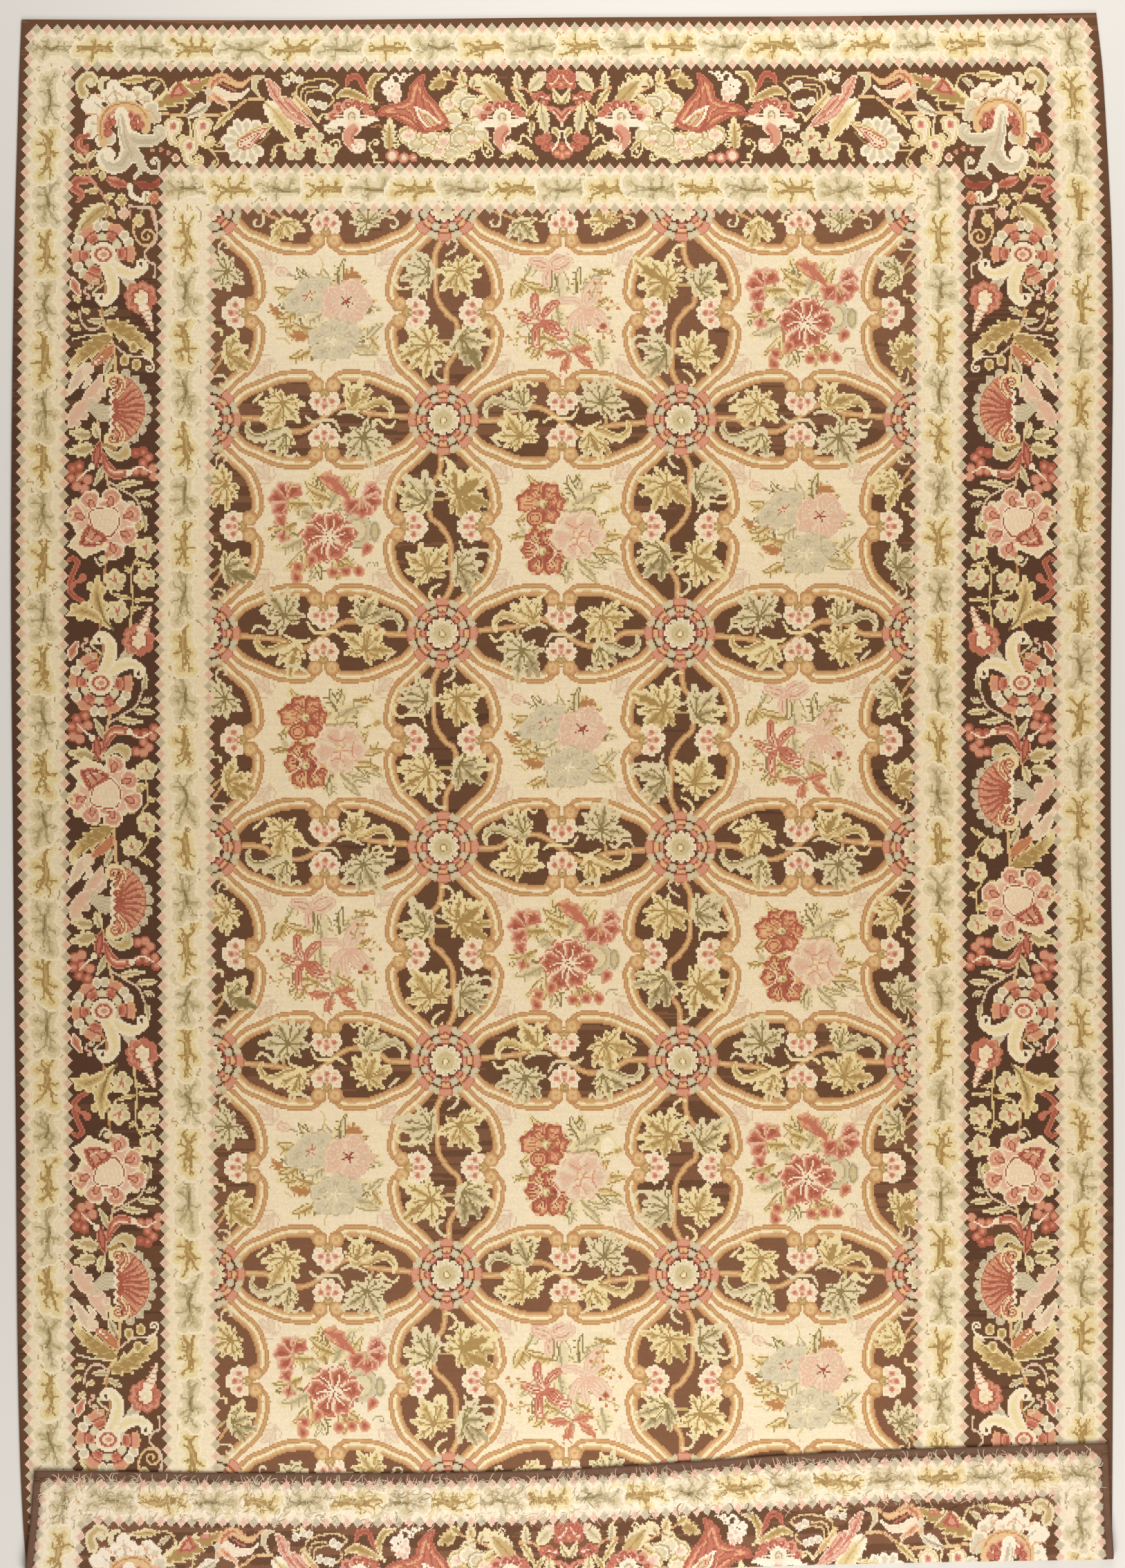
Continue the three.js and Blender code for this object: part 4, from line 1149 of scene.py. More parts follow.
def side_middle(p):
    """Between the two halves of the long border: a pomegranate turned over, blossoms and a fan."""
    pomegranate(p.at(0, 1903, 0, 1, True))
    p.sweep("204,1104 212,1130 214,1160 204,1180 214,1214 196,1240", 3, "straw")
    for x, y in places("212,1114 212,1190 190,1224"):
        blossom(p.at(x, y), 15)
    for x, y, to_x, to_y in places("213,1140,200,1136 214,1160,224,1152 211,1210,226,1202 202,1240,222,1248"):
        leaf(p, x, y, to_x, to_y, 11, "butter 2 moss", "moss", 0.2, 3)
    q = p.at(0, 710)
    q.sweep("164,488 166,510 168,540", 4.4, "honey")
    oak_leaf(q.at(161, 487, 153, 0.95, True))
    q.sweep("162,502 152,514 134,528", (7, 16, 15, 8), "peach 1.8 coral 4.5 rust")
    leaf(q, 163, 518, 148, 542, 15, "mist 2 celadon 4.5 sage", "pewter", -0.1, 4)
    shell_fan(q)


# Where the drawings of the border start, in points, and how deep the border is, in stitches.
CORNER_X, CORNER_Y = -18, -25
BORDER_COLS, BORDER_ROWS = 131, 118
# The two cream guards, in stitches: how far in each starts across and along, and how deep it is.
GUARDS = ((7, 7, 28, 22), (99, 93, 31, 24))
# The brown between the guards, mid way along a side, that the side's own middle is drawn on.
MIDDLE = (slice(452, 523), slice(35, 99))


def fill_border(chart):
    """The dark border, drawn for one corner and mirrored to the others, and the cream guards."""
    half_r, half_c = ROWS // 2, COLS // 2
    inside = (slice(BORDER_ROWS, -BORDER_ROWS), slice(BORDER_COLS, -BORDER_COLS))
    field = chart[inside].copy()
    quarter = np.full((half_r, half_c), NUMBER["brown"], chart.dtype)
    p = Pen(quarter).at(CORNER_X, CORNER_Y)
    top_border(p)
    corner(p)
    corner_side(p)
    side_border(p)
    chart[:half_r, :half_c] = quarter
    chart[:half_r, half_c:] = quarter[:, ::-1]
    chart[half_r:] = chart[:half_r][::-1]
    for view in (chart, chart[::-1, ::-1]):
        view[MIDDLE] = NUMBER["brown"]
        side_middle(Pen(view).at(CORNER_X, CORNER_Y))
    chart[inside] = field
    for x, y, deep_x, deep_y in GUARDS:
        guard(chart, x, y, deep_x, deep_y)
        ring_of_diamonds(chart, x, y)
        ring_of_diamonds(chart, x + deep_x, y + deep_y)


def linear(code):
    """An sRGB hex code as linear red, green and blue."""
    parts = [int(code[i : i + 2], 16) / 255 for i in (0, 2, 4)]
    return tuple(c / 12.92 if c <= 0.04045 else ((c + 0.055) / 1.055) ** 2.4 for c in parts)


# How the carpet lies, in millimetres, as in the part's source.
WIDEST, LENGTH, THICK, LAYER_GAP = 2440, 3685, 5, 1
TAPE_WIDE, TAPE_THICK, PIECE_GAP, REBATE_WALL = 16, 1, 0.3, 1
BEND_R, SLOPE, SETTLE_R = 10, math.radians(9), 150
WAVE_HIGH, WAVE_LONG, CORNER_LIFT, CORNER_REACH = 2, 690, 4, 160
OUTLINE_AT = (0, 150, 580, 1200, 1810, 2420, 3200, LENGTH)
OUTLINE_LEFT = (1199, 1205, 1216, 1222, 1218, 1212, 1202, 1172)
OUTLINE_RIGHT = (1185, 1201, 1221, 1218, 1217, 1223, 1221, 1218)
ACROSS = (-WIDEST / 2, -WIDEST / 4, 0, WIDEST / 4, WIDEST / 2)
FOLD_FRONT = (3450, 3454, 3450, 3431, 3420)
FAR_OUT, FAR_REACH = (-6, -8, -2, 1, 9), 400
# Old folds: whether one runs down the cloth, where it is, from and to, and how high and broad it stands.
CREASES = (
    (True, 6, 2700, 3320, 1.3, 9), (True, 4, 560, 900, 0.8, 9), (False, 734, -560, 520, 1.2, 8),
    (False, 1850, -1100, -420, 0.9, 10), (True, -610, 1500, 2100, 0.8, 11), (False, 2560, 300, 1000, 0.9, 10),
)

BEND_TURN = math.pi + SLOPE
BEND_LONG = BEND_R * BEND_TURN
SETTLE_LONG = SETTLE_R * SLOPE
SLOPE_LONG = (
    BEND_R * (1 + math.cos(SLOPE)) - THICK - LAYER_GAP - SETTLE_R * (1 - math.cos(SLOPE))
) / math.sin(SLOPE)


def between(at, keys, values):
    """A smooth value from a short table, with slopes taken from the rows on each side."""
    keys, values = np.asarray(keys, float), np.asarray(values, float)
    last = len(keys) - 1
    slopes = np.array([
        (values[min(n + 1, last)] - values[max(n - 1, 0)]) / (keys[min(n + 1, last)] - keys[max(n - 1, 0)])
        for n in range(last + 1)
    ])
    i = np.clip(np.searchsorted(keys, at, side="right") - 1, 0, last - 1)
    span = keys[i + 1] - keys[i]
    t = np.clip((at - keys[i]) / span, 0, 1)
    return (
        (2 * t**3 - 3 * t**2 + 1) * values[i] + (t**3 - 2 * t**2 + t) * span * slopes[i]
        + (3 * t**2 - 2 * t**3) * values[i + 1] + (t**3 - t**2) * span * slopes[i + 1]
    )


def smooth(t):
    t = np.clip(t, 0, 1)
    return t * t * (3 - 2 * t)


def section(past):
    """How far out and up the middle of the cloth is, and its heading, a distance past the bend's start."""
    bend = np.clip(past, 0, BEND_LONG) / BEND_R
    slope = np.clip(past - BEND_LONG, 0, SLOPE_LONG)
    settle = np.clip(past - BEND_LONG - SLOPE_LONG, 0, SETTLE_LONG) / SETTLE_R
    rest = np.maximum(past - BEND_LONG - SLOPE_LONG - SETTLE_LONG, 0)
    out = np.minimum(past, 0) + BEND_R * np.sin(bend) + slope * math.cos(BEND_TURN) - rest
    out -= SETTLE_R * (np.sin(BEND_TURN - settle) - math.sin(BEND_TURN))
    up = THICK / 2 + BEND_R * (1 - np.cos(bend)) + slope * math.sin(BEND_TURN)
    up += SETTLE_R * (np.cos(BEND_TURN - settle) - math.cos(BEND_TURN))
    return out, up, bend - settle


def bend_start(across):
    return between(across, ACROSS, FOLD_FRONT) - BEND_R - THICK / 2


def lay(share, inset, along, depth):
    """Where a spot of the cloth lies, in metres. share runs from the left edge to the right, inset is
    in from that edge, along runs from the far end, and depth runs from the face to the reverse."""
    left, right = -between(along, OUTLINE_AT, OUTLINE_LEFT), between(along, OUTLINE_AT, OUTLINE_RIGHT)
    across = left + (right - left) * share + inset
    start = bend_start(across)
    tilt = bend_start(across + 1) - start
    past = along - start
    out, up, heading = section(past)
    reverse = depth - THICK / 2
    turned = np.where(past > 0, past - out, 0)
    off = across - (left + right) / 2
    corner = smooth(1 - np.hypot((right - left) / 2 - np.abs(off), LENGTH - along) / CORNER_REACH)
    waves = WAVE_HIGH * (0.5 - 0.5 * np.cos(2 * np.pi * off / WAVE_LONG))
    raised = smooth((past - BEND_LONG) / SLOPE_LONG) * (waves + CORNER_LIFT * corner)
    skew = between(across, ACROSS, FAR_OUT) * smooth(1 - along / FAR_REACH)
    x = across + tilt * turned
    y = skew - start - out - reverse * np.sin(heading)
    z = up - reverse * np.cos(heading) + raised
    return np.stack([x, y, z + ripple(x, y)], -1) / 1000 + SHIFT


def ripple(x, y):
    """Long low swells of the whole carpet on its floor, and the soft ridges left by old folds."""
    swell = np.sin(x / 310 + 1.2 * np.sin(y / 900)) * np.sin(y / 270 + 0.8 * np.sin(x / 700))
    high = 0.7 * (1 + swell)
    for down, at, first, last, rise, broad in CREASES:
        off, along = (x - at, -y) if down else (-y - at, x)
        ends = smooth((along - first) / 60) * smooth((last - along) / 60)
        high = high + rise * ends * np.exp(-((off - 6 * np.sin(along / 210)) / broad) ** 2)
    return high


def middle_shift():
    """How far the cloth moves over the floor to lie where the part's own cloth lies."""
    spots = np.meshgrid(np.linspace(0, 1, 29), [0.0], np.linspace(0, LENGTH, 900), [0.0, 5.0])
    laid = lay(*[g.ravel() for g in spots])
    shift = 0.5 * (np.add(*CLOTH_BOX) - laid.min(0) - laid.max(0))
    return shift * (1, 1, 0)


SHIFT = np.zeros(3)
SHIFT = middle_shift()

# A face of the cloth covers a block of stitches. Their yarn numbers are packed, one channel to a row.
BLOCK_COLS, BLOCK_ROWS, BASE = 4, 9, 32
PACKS = ("yarns_a", "yarns_b", "yarns_c")
ROW_LONG = LENGTH / ROWS
TAPE_COLS, TAPE_ROWS = TAPE_WIDE / WIDEST * COLS, TAPE_WIDE / ROW_LONG
WALL_COLS, WALL_ROWS = REBATE_WALL / WIDEST * COLS, REBATE_WALL / ROW_LONG

CHART = np.zeros((ROWS, COLS), np.uint8)


def stitched_chart():
    """The yarn number of every stitch, drawn the first time it is asked for."""
    if not CHART.any():
        fill_field(CHART)
        fill_border(CHART)
        mix_browns(CHART)
    return CHART


def mix_browns(chart):
    """Works the brown ground in three hanks, in streaks along the rows: darker mid way and at the sides."""
    chance = np.random.default_rng(3)
    knots = np.arange(0, COLS + 60, 60)
    streak = np.array([np.interp(np.arange(COLS), knots,
            chance.normal(size=len(knots))) for _ in range(ROWS)])
    along, across = (np.arange(n) / n for n in chart.shape)
    streak = sum(np.roll(streak, k, 0) for k in range(4)) / 4
    inside = (np.abs(along - 0.5) < 0.386)[:, None] & (np.abs(across - 0.5) < 0.324)
    level = 3.4 * np.abs(along - 0.46)[:, None] - ~inside + 0.36 * streak
    brown = chart == NUMBER["brown"]
    chart[brown & (level > 0.72)] = NUMBER["earth"]
    chart[brown & (level < -0.1)] = NUMBER["umber"]


def packed_yarns(chart):
    """Three vectors for each block, which together hold the yarn number of every stitch in it."""
    blocks = chart.astype(np.int64).reshape(ROWS // BLOCK_ROWS, 3, 3, COLS // BLOCK_COLS, BLOCK_COLS)
    return (blocks * BASE ** np.arange(BLOCK_COLS)).sum(-1).transpose(0, 3, 1, 2).astype(np.float32)


def grid_lines(count, block, tape, wall, fine=()):
    """Places across or along, in stitches: every block's edge, the tape's edge and its rebate's wall."""
    lines = set(range(0, count + 1, block)) | {tape, tape + wall, count - tape, count - tape - wall}
    return np.array(sorted(lines | set(fine)))


def fine_rows():
    """Half stitches round the bend, and pairs of stitches down the slope behind it."""
    starts = bend_start(np.linspace(-WIDEST / 2, WIDEST / 2, 9))
    first, last = int(starts.min() / ROW_LONG) - 1, int((starts.max() + BEND_LONG) / ROW_LONG) + 2
    slope = int((starts.max() + BEND_LONG + SLOPE_LONG + SETTLE_LONG) / ROW_LONG) + 3
    return list(np.arange(first, last, 0.5)) + list(np.arange(last, slope, 2.0))


def new_object(name, verts, faces, uvs=()):
    """A mesh object at the origin. faces is an array of quads, or a list, and uvs holds one per corner."""
    mesh = bpy.data.meshes.new(name)
    mesh.from_pydata(np.asarray(verts).tolist(), [], [list(face) for face in faces])
    mesh.update()
    for title, values in uvs:
        mesh.uv_layers.new(name=title).data.foreach_set("uv", np.asarray(values, np.float32).ravel())
    mesh.polygons.foreach_set("use_smooth", [True] * len(mesh.polygons))
    piece = bpy.data.objects.new(name, mesh)
    bpy.context.scene.collection.objects.link(piece)
    return piece


def grid_quads(rows, cols):
    """The quads of a grid of points, row after row."""
    r, c = [g.ravel() for g in np.meshgrid(np.arange(rows - 1), np.arange(cols - 1), indexing="ij")]
    a = r * cols + c
    return np.stack([a, a + cols, a + cols + 1, a + 1], 1)


def ring(rows, cols):
    """Grid places round the edge of a grid, as row and column numbers, down the left side first."""
    down, over = np.arange(rows), np.arange(cols)
    r = np.concatenate([down[:-1], np.full(cols - 1, rows - 1), down[:0:-1], np.zeros(cols - 1, int)])
    c = np.concatenate([np.zeros(rows - 1, int), over[:-1], np.full(rows - 1, cols - 1), over[:0:-1]])
    return r, c


# How far in from the outline the face and the reverse end, and how far in and deep the cloth is
# at two places between, so that its edge is rounded. All in millimetres.
FACE_IN, REVERSE_IN, ROUNDING = 1.6, 0.6, ((0.45, 0.55), (0.0, 1.9))
# Rows or columns a stitch apart on each side of an old fold, so that its ridge is smooth.
CREASE_LINES = range(-7, 8)


def build_cloth(chart):
    """The stitched cloth as one closed skin: its face, its reverse, and the rounded edge between."""
    creased = {True: [], False: []}
    for down, at, *_ in CREASES:
        middle = (at / WIDEST + 0.5) * COLS if down else at / ROW_LONG
        creased[down] += [round(middle) + k for k in CREASE_LINES]
    cols = grid_lines(COLS, BLOCK_COLS, TAPE_COLS, WALL_COLS, creased[True])
    rows = grid_lines(ROWS, BLOCK_ROWS, TAPE_ROWS, WALL_ROWS, fine_rows() + creased[False])
    v, u = [g.ravel() for g in np.meshgrid(rows, cols, indexing="ij")]
    n_rows, n_cols = len(rows), len(cols)

    def points(u, v, edge, depth):
        inset = np.where(u <= 0, edge, np.where(u >= COLS, -edge, 0))
        along = np.clip(v * ROW_LONG, edge, LENGTH - edge)
        return lay(u / COLS, inset, along, depth)

    near_edge = np.minimum(np.minimum(u, COLS - u) - TAPE_COLS, (np.minimum(v, ROWS - v) - TAPE_ROWS))
    let_in = TAPE_THICK + PIECE_GAP
    depth = THICK - np.where(near_edge < 1e-6, let_in, 0)
    ring_r, ring_c = ring(n_rows, n_cols)
    edge = ring_r * n_cols + ring_c
    across = len(edge)
    verts = np.vstack([
        points(u, v, FACE_IN, 0), points(u, v, REVERSE_IN, depth),
        *(points(u[edge], v[edge], inward, deep) for inward, deep in ROUNDING),
    ])
    size = n_rows * n_cols
    face = grid_quads(n_rows, n_cols)
    back = face[:, ::-1] + size
    k = np.arange(across)
    loops = [edge[k], 2 * size + k, 2 * size + across + k, edge[k] + size]
    rims = [np.stack([one, two, np.roll(two, -1), np.roll(one, -1)], 1) for one, two in zip(loops, loops[1:])]
    quads = np.vstack([face, back] + rims)

    # The middle of each face says which block it belongs to, and its corners lie within that block.
    vert_u = np.concatenate([u, u, u[edge], u[edge]])
    vert_v = np.concatenate([v, v, v[edge], v[edge]])
    corner_u, corner_v = vert_u[quads], vert_v[quads]
    block_c = np.clip(corner_u.mean(1) // BLOCK_COLS, 0, COLS // BLOCK_COLS - 1).astype(int)
    block_r = np.clip(corner_v.mean(1) // BLOCK_ROWS, 0, ROWS // BLOCK_ROWS - 1).astype(int)
    in_block = np.stack(
        [corner_u - BLOCK_COLS * block_c[:, None], corner_v - BLOCK_ROWS * block_r[:, None]], -1)
    stitches = np.stack([corner_u, corner_v], -1)

    # The map that the finish is baked through: the face, the reverse and the edge each have a place.
    on_map = np.stack([corner_u / COLS, 1 - corner_v / ROWS], -1)
    n = len(face)
    baked = on_map.copy()
    baked[:n] = on_map[:n] * (0.65, 0.99) + (0.004, 0.005)
    baked[n:2 * n] = on_map[n:2 * n] * (0.31, 0.99) + (0.664, 0.005)
    for i in range(3):
        at = 0.978 + 0.007 * i
        strip = np.stack([
            np.tile([at, at + 0.005, at + 0.005, at], (across, 1)),
            0.005 + 0.99 * (k[:, None] + np.array([0, 0, 1, 1])) / across,
        ], -1)
        baked[2 * n + i * across:2 * n + (i + 1) * across] = strip

    cloth = new_object("cloth", verts, quads, (
        ("Block", in_block), ("Stitches", stitches), ("OFBake", baked)))
    packs = packed_yarns(chart)[block_r, block_c]
    for i, name in enumerate(PACKS):
        layer = cloth.data.attributes.new(name, "FLOAT_VECTOR", "FACE")
        layer.data.foreach_set("vector", packs[:, i].ravel())
    side = np.zeros(len(quads), np.float32)
    side[n:2 * n] = 1
    cloth.data.attributes.new("reverse", "FLOAT", "FACE").data.foreach_set("value", side)
    return cloth


def add(tree, kind, inputs=(), **settings):
    """Adds a shader node. inputs gives a value, a node or one of a node's outputs for each socket,
    in order or by name. A node stands for its first output."""
    made = tree.nodes.new("ShaderNode" + kind)
    for name, value in settings.items():
        setattr(made, name, value)
    for socket, value in inputs.items() if isinstance(inputs, dict) else enumerate(inputs):
        if isinstance(value, bpy.types.Node):
            value = value.outputs[0]
        if isinstance(value, bpy.types.NodeSocket):
            tree.links.new(value, made.inputs[socket])
        else:
            made.inputs[socket].default_value = value
    return made


def new_material(name, **shader):
    """A material with a Principled shader whose own sockets take the given values."""
    made = bpy.data.materials.new(name)
    made.use_nodes = True
    for socket, value in shader.items():
        made.node_tree.nodes["Principled BSDF"].inputs[socket.replace("_", " ")].default_value = value
    return made, made.node_tree


def dress(tree, colour, value, height, distance, strength):
    """Joins a colour, its lightness and a relief to the shader."""
    tint = add(tree, "HueSaturation", {"Color": colour, "Value": value})
    bump = add(tree, "Bump", {"Height": height, "Distance": distance, "Strength": strength})
    shader = tree.nodes["Principled BSDF"]
    tree.links.new(tint.outputs[0], shader.inputs["Base Color"])
    tree.links.new(bump.outputs[0], shader.inputs["Normal"])


def dyed(tree, number, colours):
    """The colour of the yarn with this number."""
    place = add(tree, "Math", (number, 1 / BASE, 0.5 / BASE), operation="MULTIPLY_ADD")
    ramp = add(tree, "ValToRGB", (place,))
    ramp.color_ramp.interpolation = "CONSTANT"
    stops = ramp.color_ramp.elements
    while len(stops) > 1:
        stops.remove(stops[-1])
    for i, name in enumerate(YARNS):
        stop = stops[0] if i == 0 else stops.new(i / BASE)
        stop.position = i / BASE
        stop.color = (*getattr(colours, name), 1)
    return ramp


def ridges(tree, value, every):
    """Round ridges side by side, one each time the value grows by this much."""
    wave = add(tree, "Math", (value, math.pi / every), operation="MULTIPLY")
    wave = add(tree, "Math", (wave,), operation="SINE")
    return add(tree, "Math", (wave,), operation="ABSOLUTE")


def yarn_number(tree, stitches, reverse):
    """Unpacks the number of the yarn at a place on the cloth, from the numbers that its face holds."""
    # The reverse is less even, so a place there may show the stitch beside it.
    stray = add(tree, "TexNoise", {"Vector": stitches, "Scale": 0.8, "Detail": 1.0}).outputs["Color"]
    stray = add(tree, "VectorMath", (stray, (2.8, 2.8, 0), (-1.4, -1.4, 0)), operation="MULTIPLY_ADD")
    amount = add(tree, "CombineXYZ", (reverse, reverse))
    block = add(tree, "UVMap", uv_map="Block")
    spot = add(tree, "VectorMath", (stray, amount, block), operation="MULTIPLY_ADD")
    spot = add(tree, "VectorMath", (spot, (0.001, 0.001, 0)), operation="MAXIMUM")
    spot = add(tree, "VectorMath", (spot, (BLOCK_COLS - 0.001, BLOCK_ROWS - 0.001, 0)), operation="MINIMUM")
    cell = add(tree, "SeparateXYZ", (add(tree, "VectorMath", (spot,), operation="FLOOR"),))
    col, row = cell.outputs[0], cell.outputs[1]

    # Which of the three packs holds this row, and which of its channels.
    packs = [add(tree, "Attribute", attribute_name=name).outputs["Vector"] for name in PACKS]
    pack = packs[0]
    for limit, further in ((2.5, packs[1]), (5.5, packs[2])):
        past = add(tree, "Math", (row, limit), operation="GREATER_THAN")
        pack = add(tree, "MixRGB", (past, pack, further))
    third = add(tree, "Math", (row, 3.0), operation="MODULO")
    first = add(tree, "Math", (third, 0.5), operation="LESS_THAN")
    last = add(tree, "Math", (third, 1.5), operation="GREATER_THAN")
    middle = add(tree, "Math", (1.0, first), operation="SUBTRACT")
    middle = add(tree, "Math", (middle, last), operation="SUBTRACT")
    pick = add(tree, "CombineXYZ", (first, middle, last))
    number = add(tree, "VectorMath", (pack, pick), operation="DOT_PRODUCT").outputs["Value"]

    # The channel holds one number for each column, as the digits of a larger one.
    number = add(tree, "Math", (number, 0.5), operation="ADD")
    digit = add(tree, "Math", (float(BASE), col), operation="POWER")
    number = add(tree, "Math", (number, digit), operation="DIVIDE")
    number = add(tree, "Math", (number,), operation="FLOOR")
    return add(tree, "Math", (number, float(BASE)), operation="MODULO")


def stitched_wool(colours, relief):
    """Crewel wool in tent stitch: matt, with a slanted grain 3.4 mm wide and each strand a shade apart."""
    made, tree = new_material(
        "tent_stitched_wool", Roughness=0.94, Specular_IOR_Level=0.25, Sheen_Weight=0.12, Sheen_Roughness=0.5)
    reverse = add(tree, "Attribute", attribute_name="reverse").outputs["Fac"]
    stitches = add(tree, "UVMap", uv_map="Stitches")
    yarn = dyed(tree, yarn_number(tree, stitches, reverse), colours)

    # Each stitch takes the dye a little differently, and whole rows drift as a new hank begins.
    one = add(tree, "VectorMath", (stitches,), operation="FLOOR")
    speck = add(tree, "TexWhiteNoise", {"Vector": one}, noise_dimensions="3D").outputs["Value"]
    streak = add(tree, "VectorMath", (stitches, (0.03, 0.55, 0)), operation="MULTIPLY")
    streak = add(tree, "TexNoise", {"Vector": streak, "Scale": 1.0, "Detail": 2.0}).outputs["Fac"]
    place = add(tree, "TexCoord").outputs["Object"]
    wear = add(tree, "TexNoise", {"Vector": place, "Scale": 1.6, "Detail": 4.0}).outputs["Fac"]
    shade = add(tree, "Math", (speck, 0.11, 0.945), operation="MULTIPLY_ADD")
    for tone, amount in ((streak, 0.16), (wear, 0.12)):
        drift = add(tree, "Math", (tone, amount, -amount / 2), operation="MULTIPLY_ADD")
        shade = add(tree, "Math", (shade, drift), operation="ADD")

    # Slanted strands: a ridge along each diagonal, pinched where one stitch meets the next.
    grid = add(tree, "SeparateXYZ", (stitches,))
    ridge = ridges(tree, add(tree, "Math", (grid, grid.outputs[1]), operation="ADD"), 1)
    ridge = add(tree, "Math", (ridge, 0.7), operation="POWER")
    pinch = add(tree, "Math", (ridges(tree, grid.outputs[1], 1), 0.4, 0.6), operation="MULTIPLY_ADD")
    fibre = add(tree, "TexNoise", {"Vector": stitches, "Scale": 5.0, "Detail": 2.0}).outputs["Fac"]
    height = add(tree, "Math", (fibre, 0.35), operation="MULTIPLY")
    height = add(tree, "Math", (ridge, pinch, height), operation="MULTIPLY_ADD")
    # The value is also made lower where the strands dip and higher on their crowns: painted shade between the
    # strands.
    low = add(tree, "Math", (height, 1.0), operation="MINIMUM")
    low = add(tree, "Math", (low, 0.16, 0.86), operation="MULTIPLY_ADD")
    shade = add(tree, "Math", (shade, low), operation="MULTIPLY")

    # Less light has reached the reverse, so its dyes have yellowed less. The face is made darker and
    # yellower mid way along and at the sides, and least so at the two ends.
    yarn = add(tree, "MixRGB", (reverse, yarn, (1.0, 1.0, 1.07, 1)), blend_type="MULTIPLY")
    darker_mid_way = add(tree, "VectorMath", (place, place), operation="MULTIPLY")
    darker_mid_way = add(tree, "VectorMath", (darker_mid_way, (0.26, -0.36, 0)), operation="DOT_PRODUCT").outputs["Value"]
    worn = add(tree, "Math", (wear, 0.34), operation="ADD")
    darker_mid_way = add(tree, "Math", (darker_mid_way, worn), operation="ADD")
    yarn = add(tree, "MixRGB", (darker_mid_way, yarn, (0.89, 0.845, 0.775, 1)), blend_type="MULTIPLY")
    dress(tree, yarn, shade, height, relief, 0.8)
    return made


def build_tape(name, columns, rows):
    """A strip of the binding tape, a shade proud of the cloth at its outer edge, as a closed slab."""
    u, v = np.asarray(columns), np.asarray(rows)
    vv, uu = [g.ravel() for g in np.meshgrid(v, u, indexing="ij")]
    chance = np.random.default_rng(len(rows))
    pucker = np.repeat(chance.uniform(-0.12, 0.12, len(v)), len(u))
    lower = lay(uu / COLS, 0, vv * ROW_LONG, THICK - TAPE_THICK)
    upper = lay(uu / COLS, 0, vv * ROW_LONG, THICK - 0.14 + pucker)
    n, cols = len(uu), len(u)
    face = grid_quads(len(v), cols)
    ring_r, ring_c = ring(len(v), cols)
    edge = ring_r * cols + ring_c
    rim = np.stack([edge, edge + n, np.roll(edge, -1) + n, np.roll(edge, -1)], 1)
    quads = np.vstack([face, face[:, ::-1] + n, rim])
    flat = np.stack([uu * WIDEST / COLS, vv * ROW_LONG], -1)
    return new_object(name, np.vstack([lower, upper]), quads, (("Tape", np.vstack([flat, flat])[quads]),))


RIB = 1.2  # millimetres from one rib of the tape's twill to the next


def twill_tape(colour):
    """Cotton twill tape: matt, with a fine slanted rib 1.2 mm apart and a firm woven edge."""
    made, tree = new_material("cotton_twill_tape", Roughness=0.9, Specular_IOR_Level=0.25)
    place = add(tree, "UVMap", uv_map="Tape")
    grid = add(tree, "SeparateXYZ", (place,))
    rib = ridges(tree, add(tree, "Math", (grid, grid.outputs[1]), operation="ADD"), RIB)
    fade = add(tree, "TexNoise", {"Vector": place, "Scale": 0.03, "Detail": 3.0}).outputs["Fac"]
    value = add(tree, "Math", (fade, 0.5, 0.72), operation="MULTIPLY_ADD")
    # Each rib is made lighter than the groove beside it: painted shade in the grooves of the twill.
    value = add(tree, "Math", (rib, 0.2, value), operation="MULTIPLY_ADD")
    dress(tree, (*colour, 1), value, rib, 0.0004, 0.7)
    return made


def strands(name, paths, wide, tall, numbers):
    """Short ends of yarn along the paths, each three-sided and closed, as one mesh.

    paths holds each point of each strand: millimetres across from the middle, along, and deep."""
    count, points, _ = paths.shape
    step = np.gradient(paths[..., :2], axis=1)
    length = np.linalg.norm(step, axis=-1, keepdims=True)
    side = np.stack([-step[..., 1], step[..., 0]], -1) / length * wide / 2
    taper = np.interp(np.linspace(0, 1, points), (0, 0.2, 0.8, 1), (0.8, 1, 0.9, 0.45))[:, None]
    rings = []
    for way, up in ((-1, 0), (0, -tall), (1, 0)):
        spot = paths.copy()
        spot[..., :2] += way * side * taper
        spot[..., 2] -= up * taper[:, 0]
        rings.append(lay(spot[..., 0].ravel() / WIDEST + 0.5, 0, spot[..., 1].ravel(), spot[..., 2].ravel()))
    verts = np.stack(rings, 1).reshape(-1, 3)
    faces, uvs, cell = [], [], 1 / math.ceil(math.sqrt(count))
    across = round(1 / cell)
    for n in range(count):
        base, cx, cy = 3 * points * n, (n % across) * cell, (n // across) * cell
        for i in range(points - 1):
            for j in range(3):
                a, b = base + 3 * i + j, base + 3 * i + (j + 1) % 3
                faces.append((a, a + 3, b + 3, b))
                u0, u1 = [cx + cell * (0.06 + 0.76 * k / (points - 1)) for k in (i, i + 1)]
                v0, v1 = [cy + cell * (0.06 + 0.88 * k / 3) for k in (j, j + 1)]
                uvs += [(u0, v0), (u1, v0), (u1, v1), (u0, v1)]
        for cap, low in (((0, 1, 2), 0.06), ((2, 1, 0), 0.54)):
            shift = 0 if low < 0.5 else 3 * (points - 1)
            faces.append(tuple(base + shift + k for k in cap))
            uvs += [(cx + cell * u, cy + cell * (low + v)) for u, v in ((0.86, 0), (0.96, 0.2), (0.86, 0.4))]
    made = new_object(name, verts, faces, (("OFBake", uvs),))
    dye = np.repeat(numbers, 3 * (points - 1) + 2).astype(np.float32)
    made.data.attributes.new("yarn", "FLOAT", "FACE").data.foreach_set("value", dye)
    return made


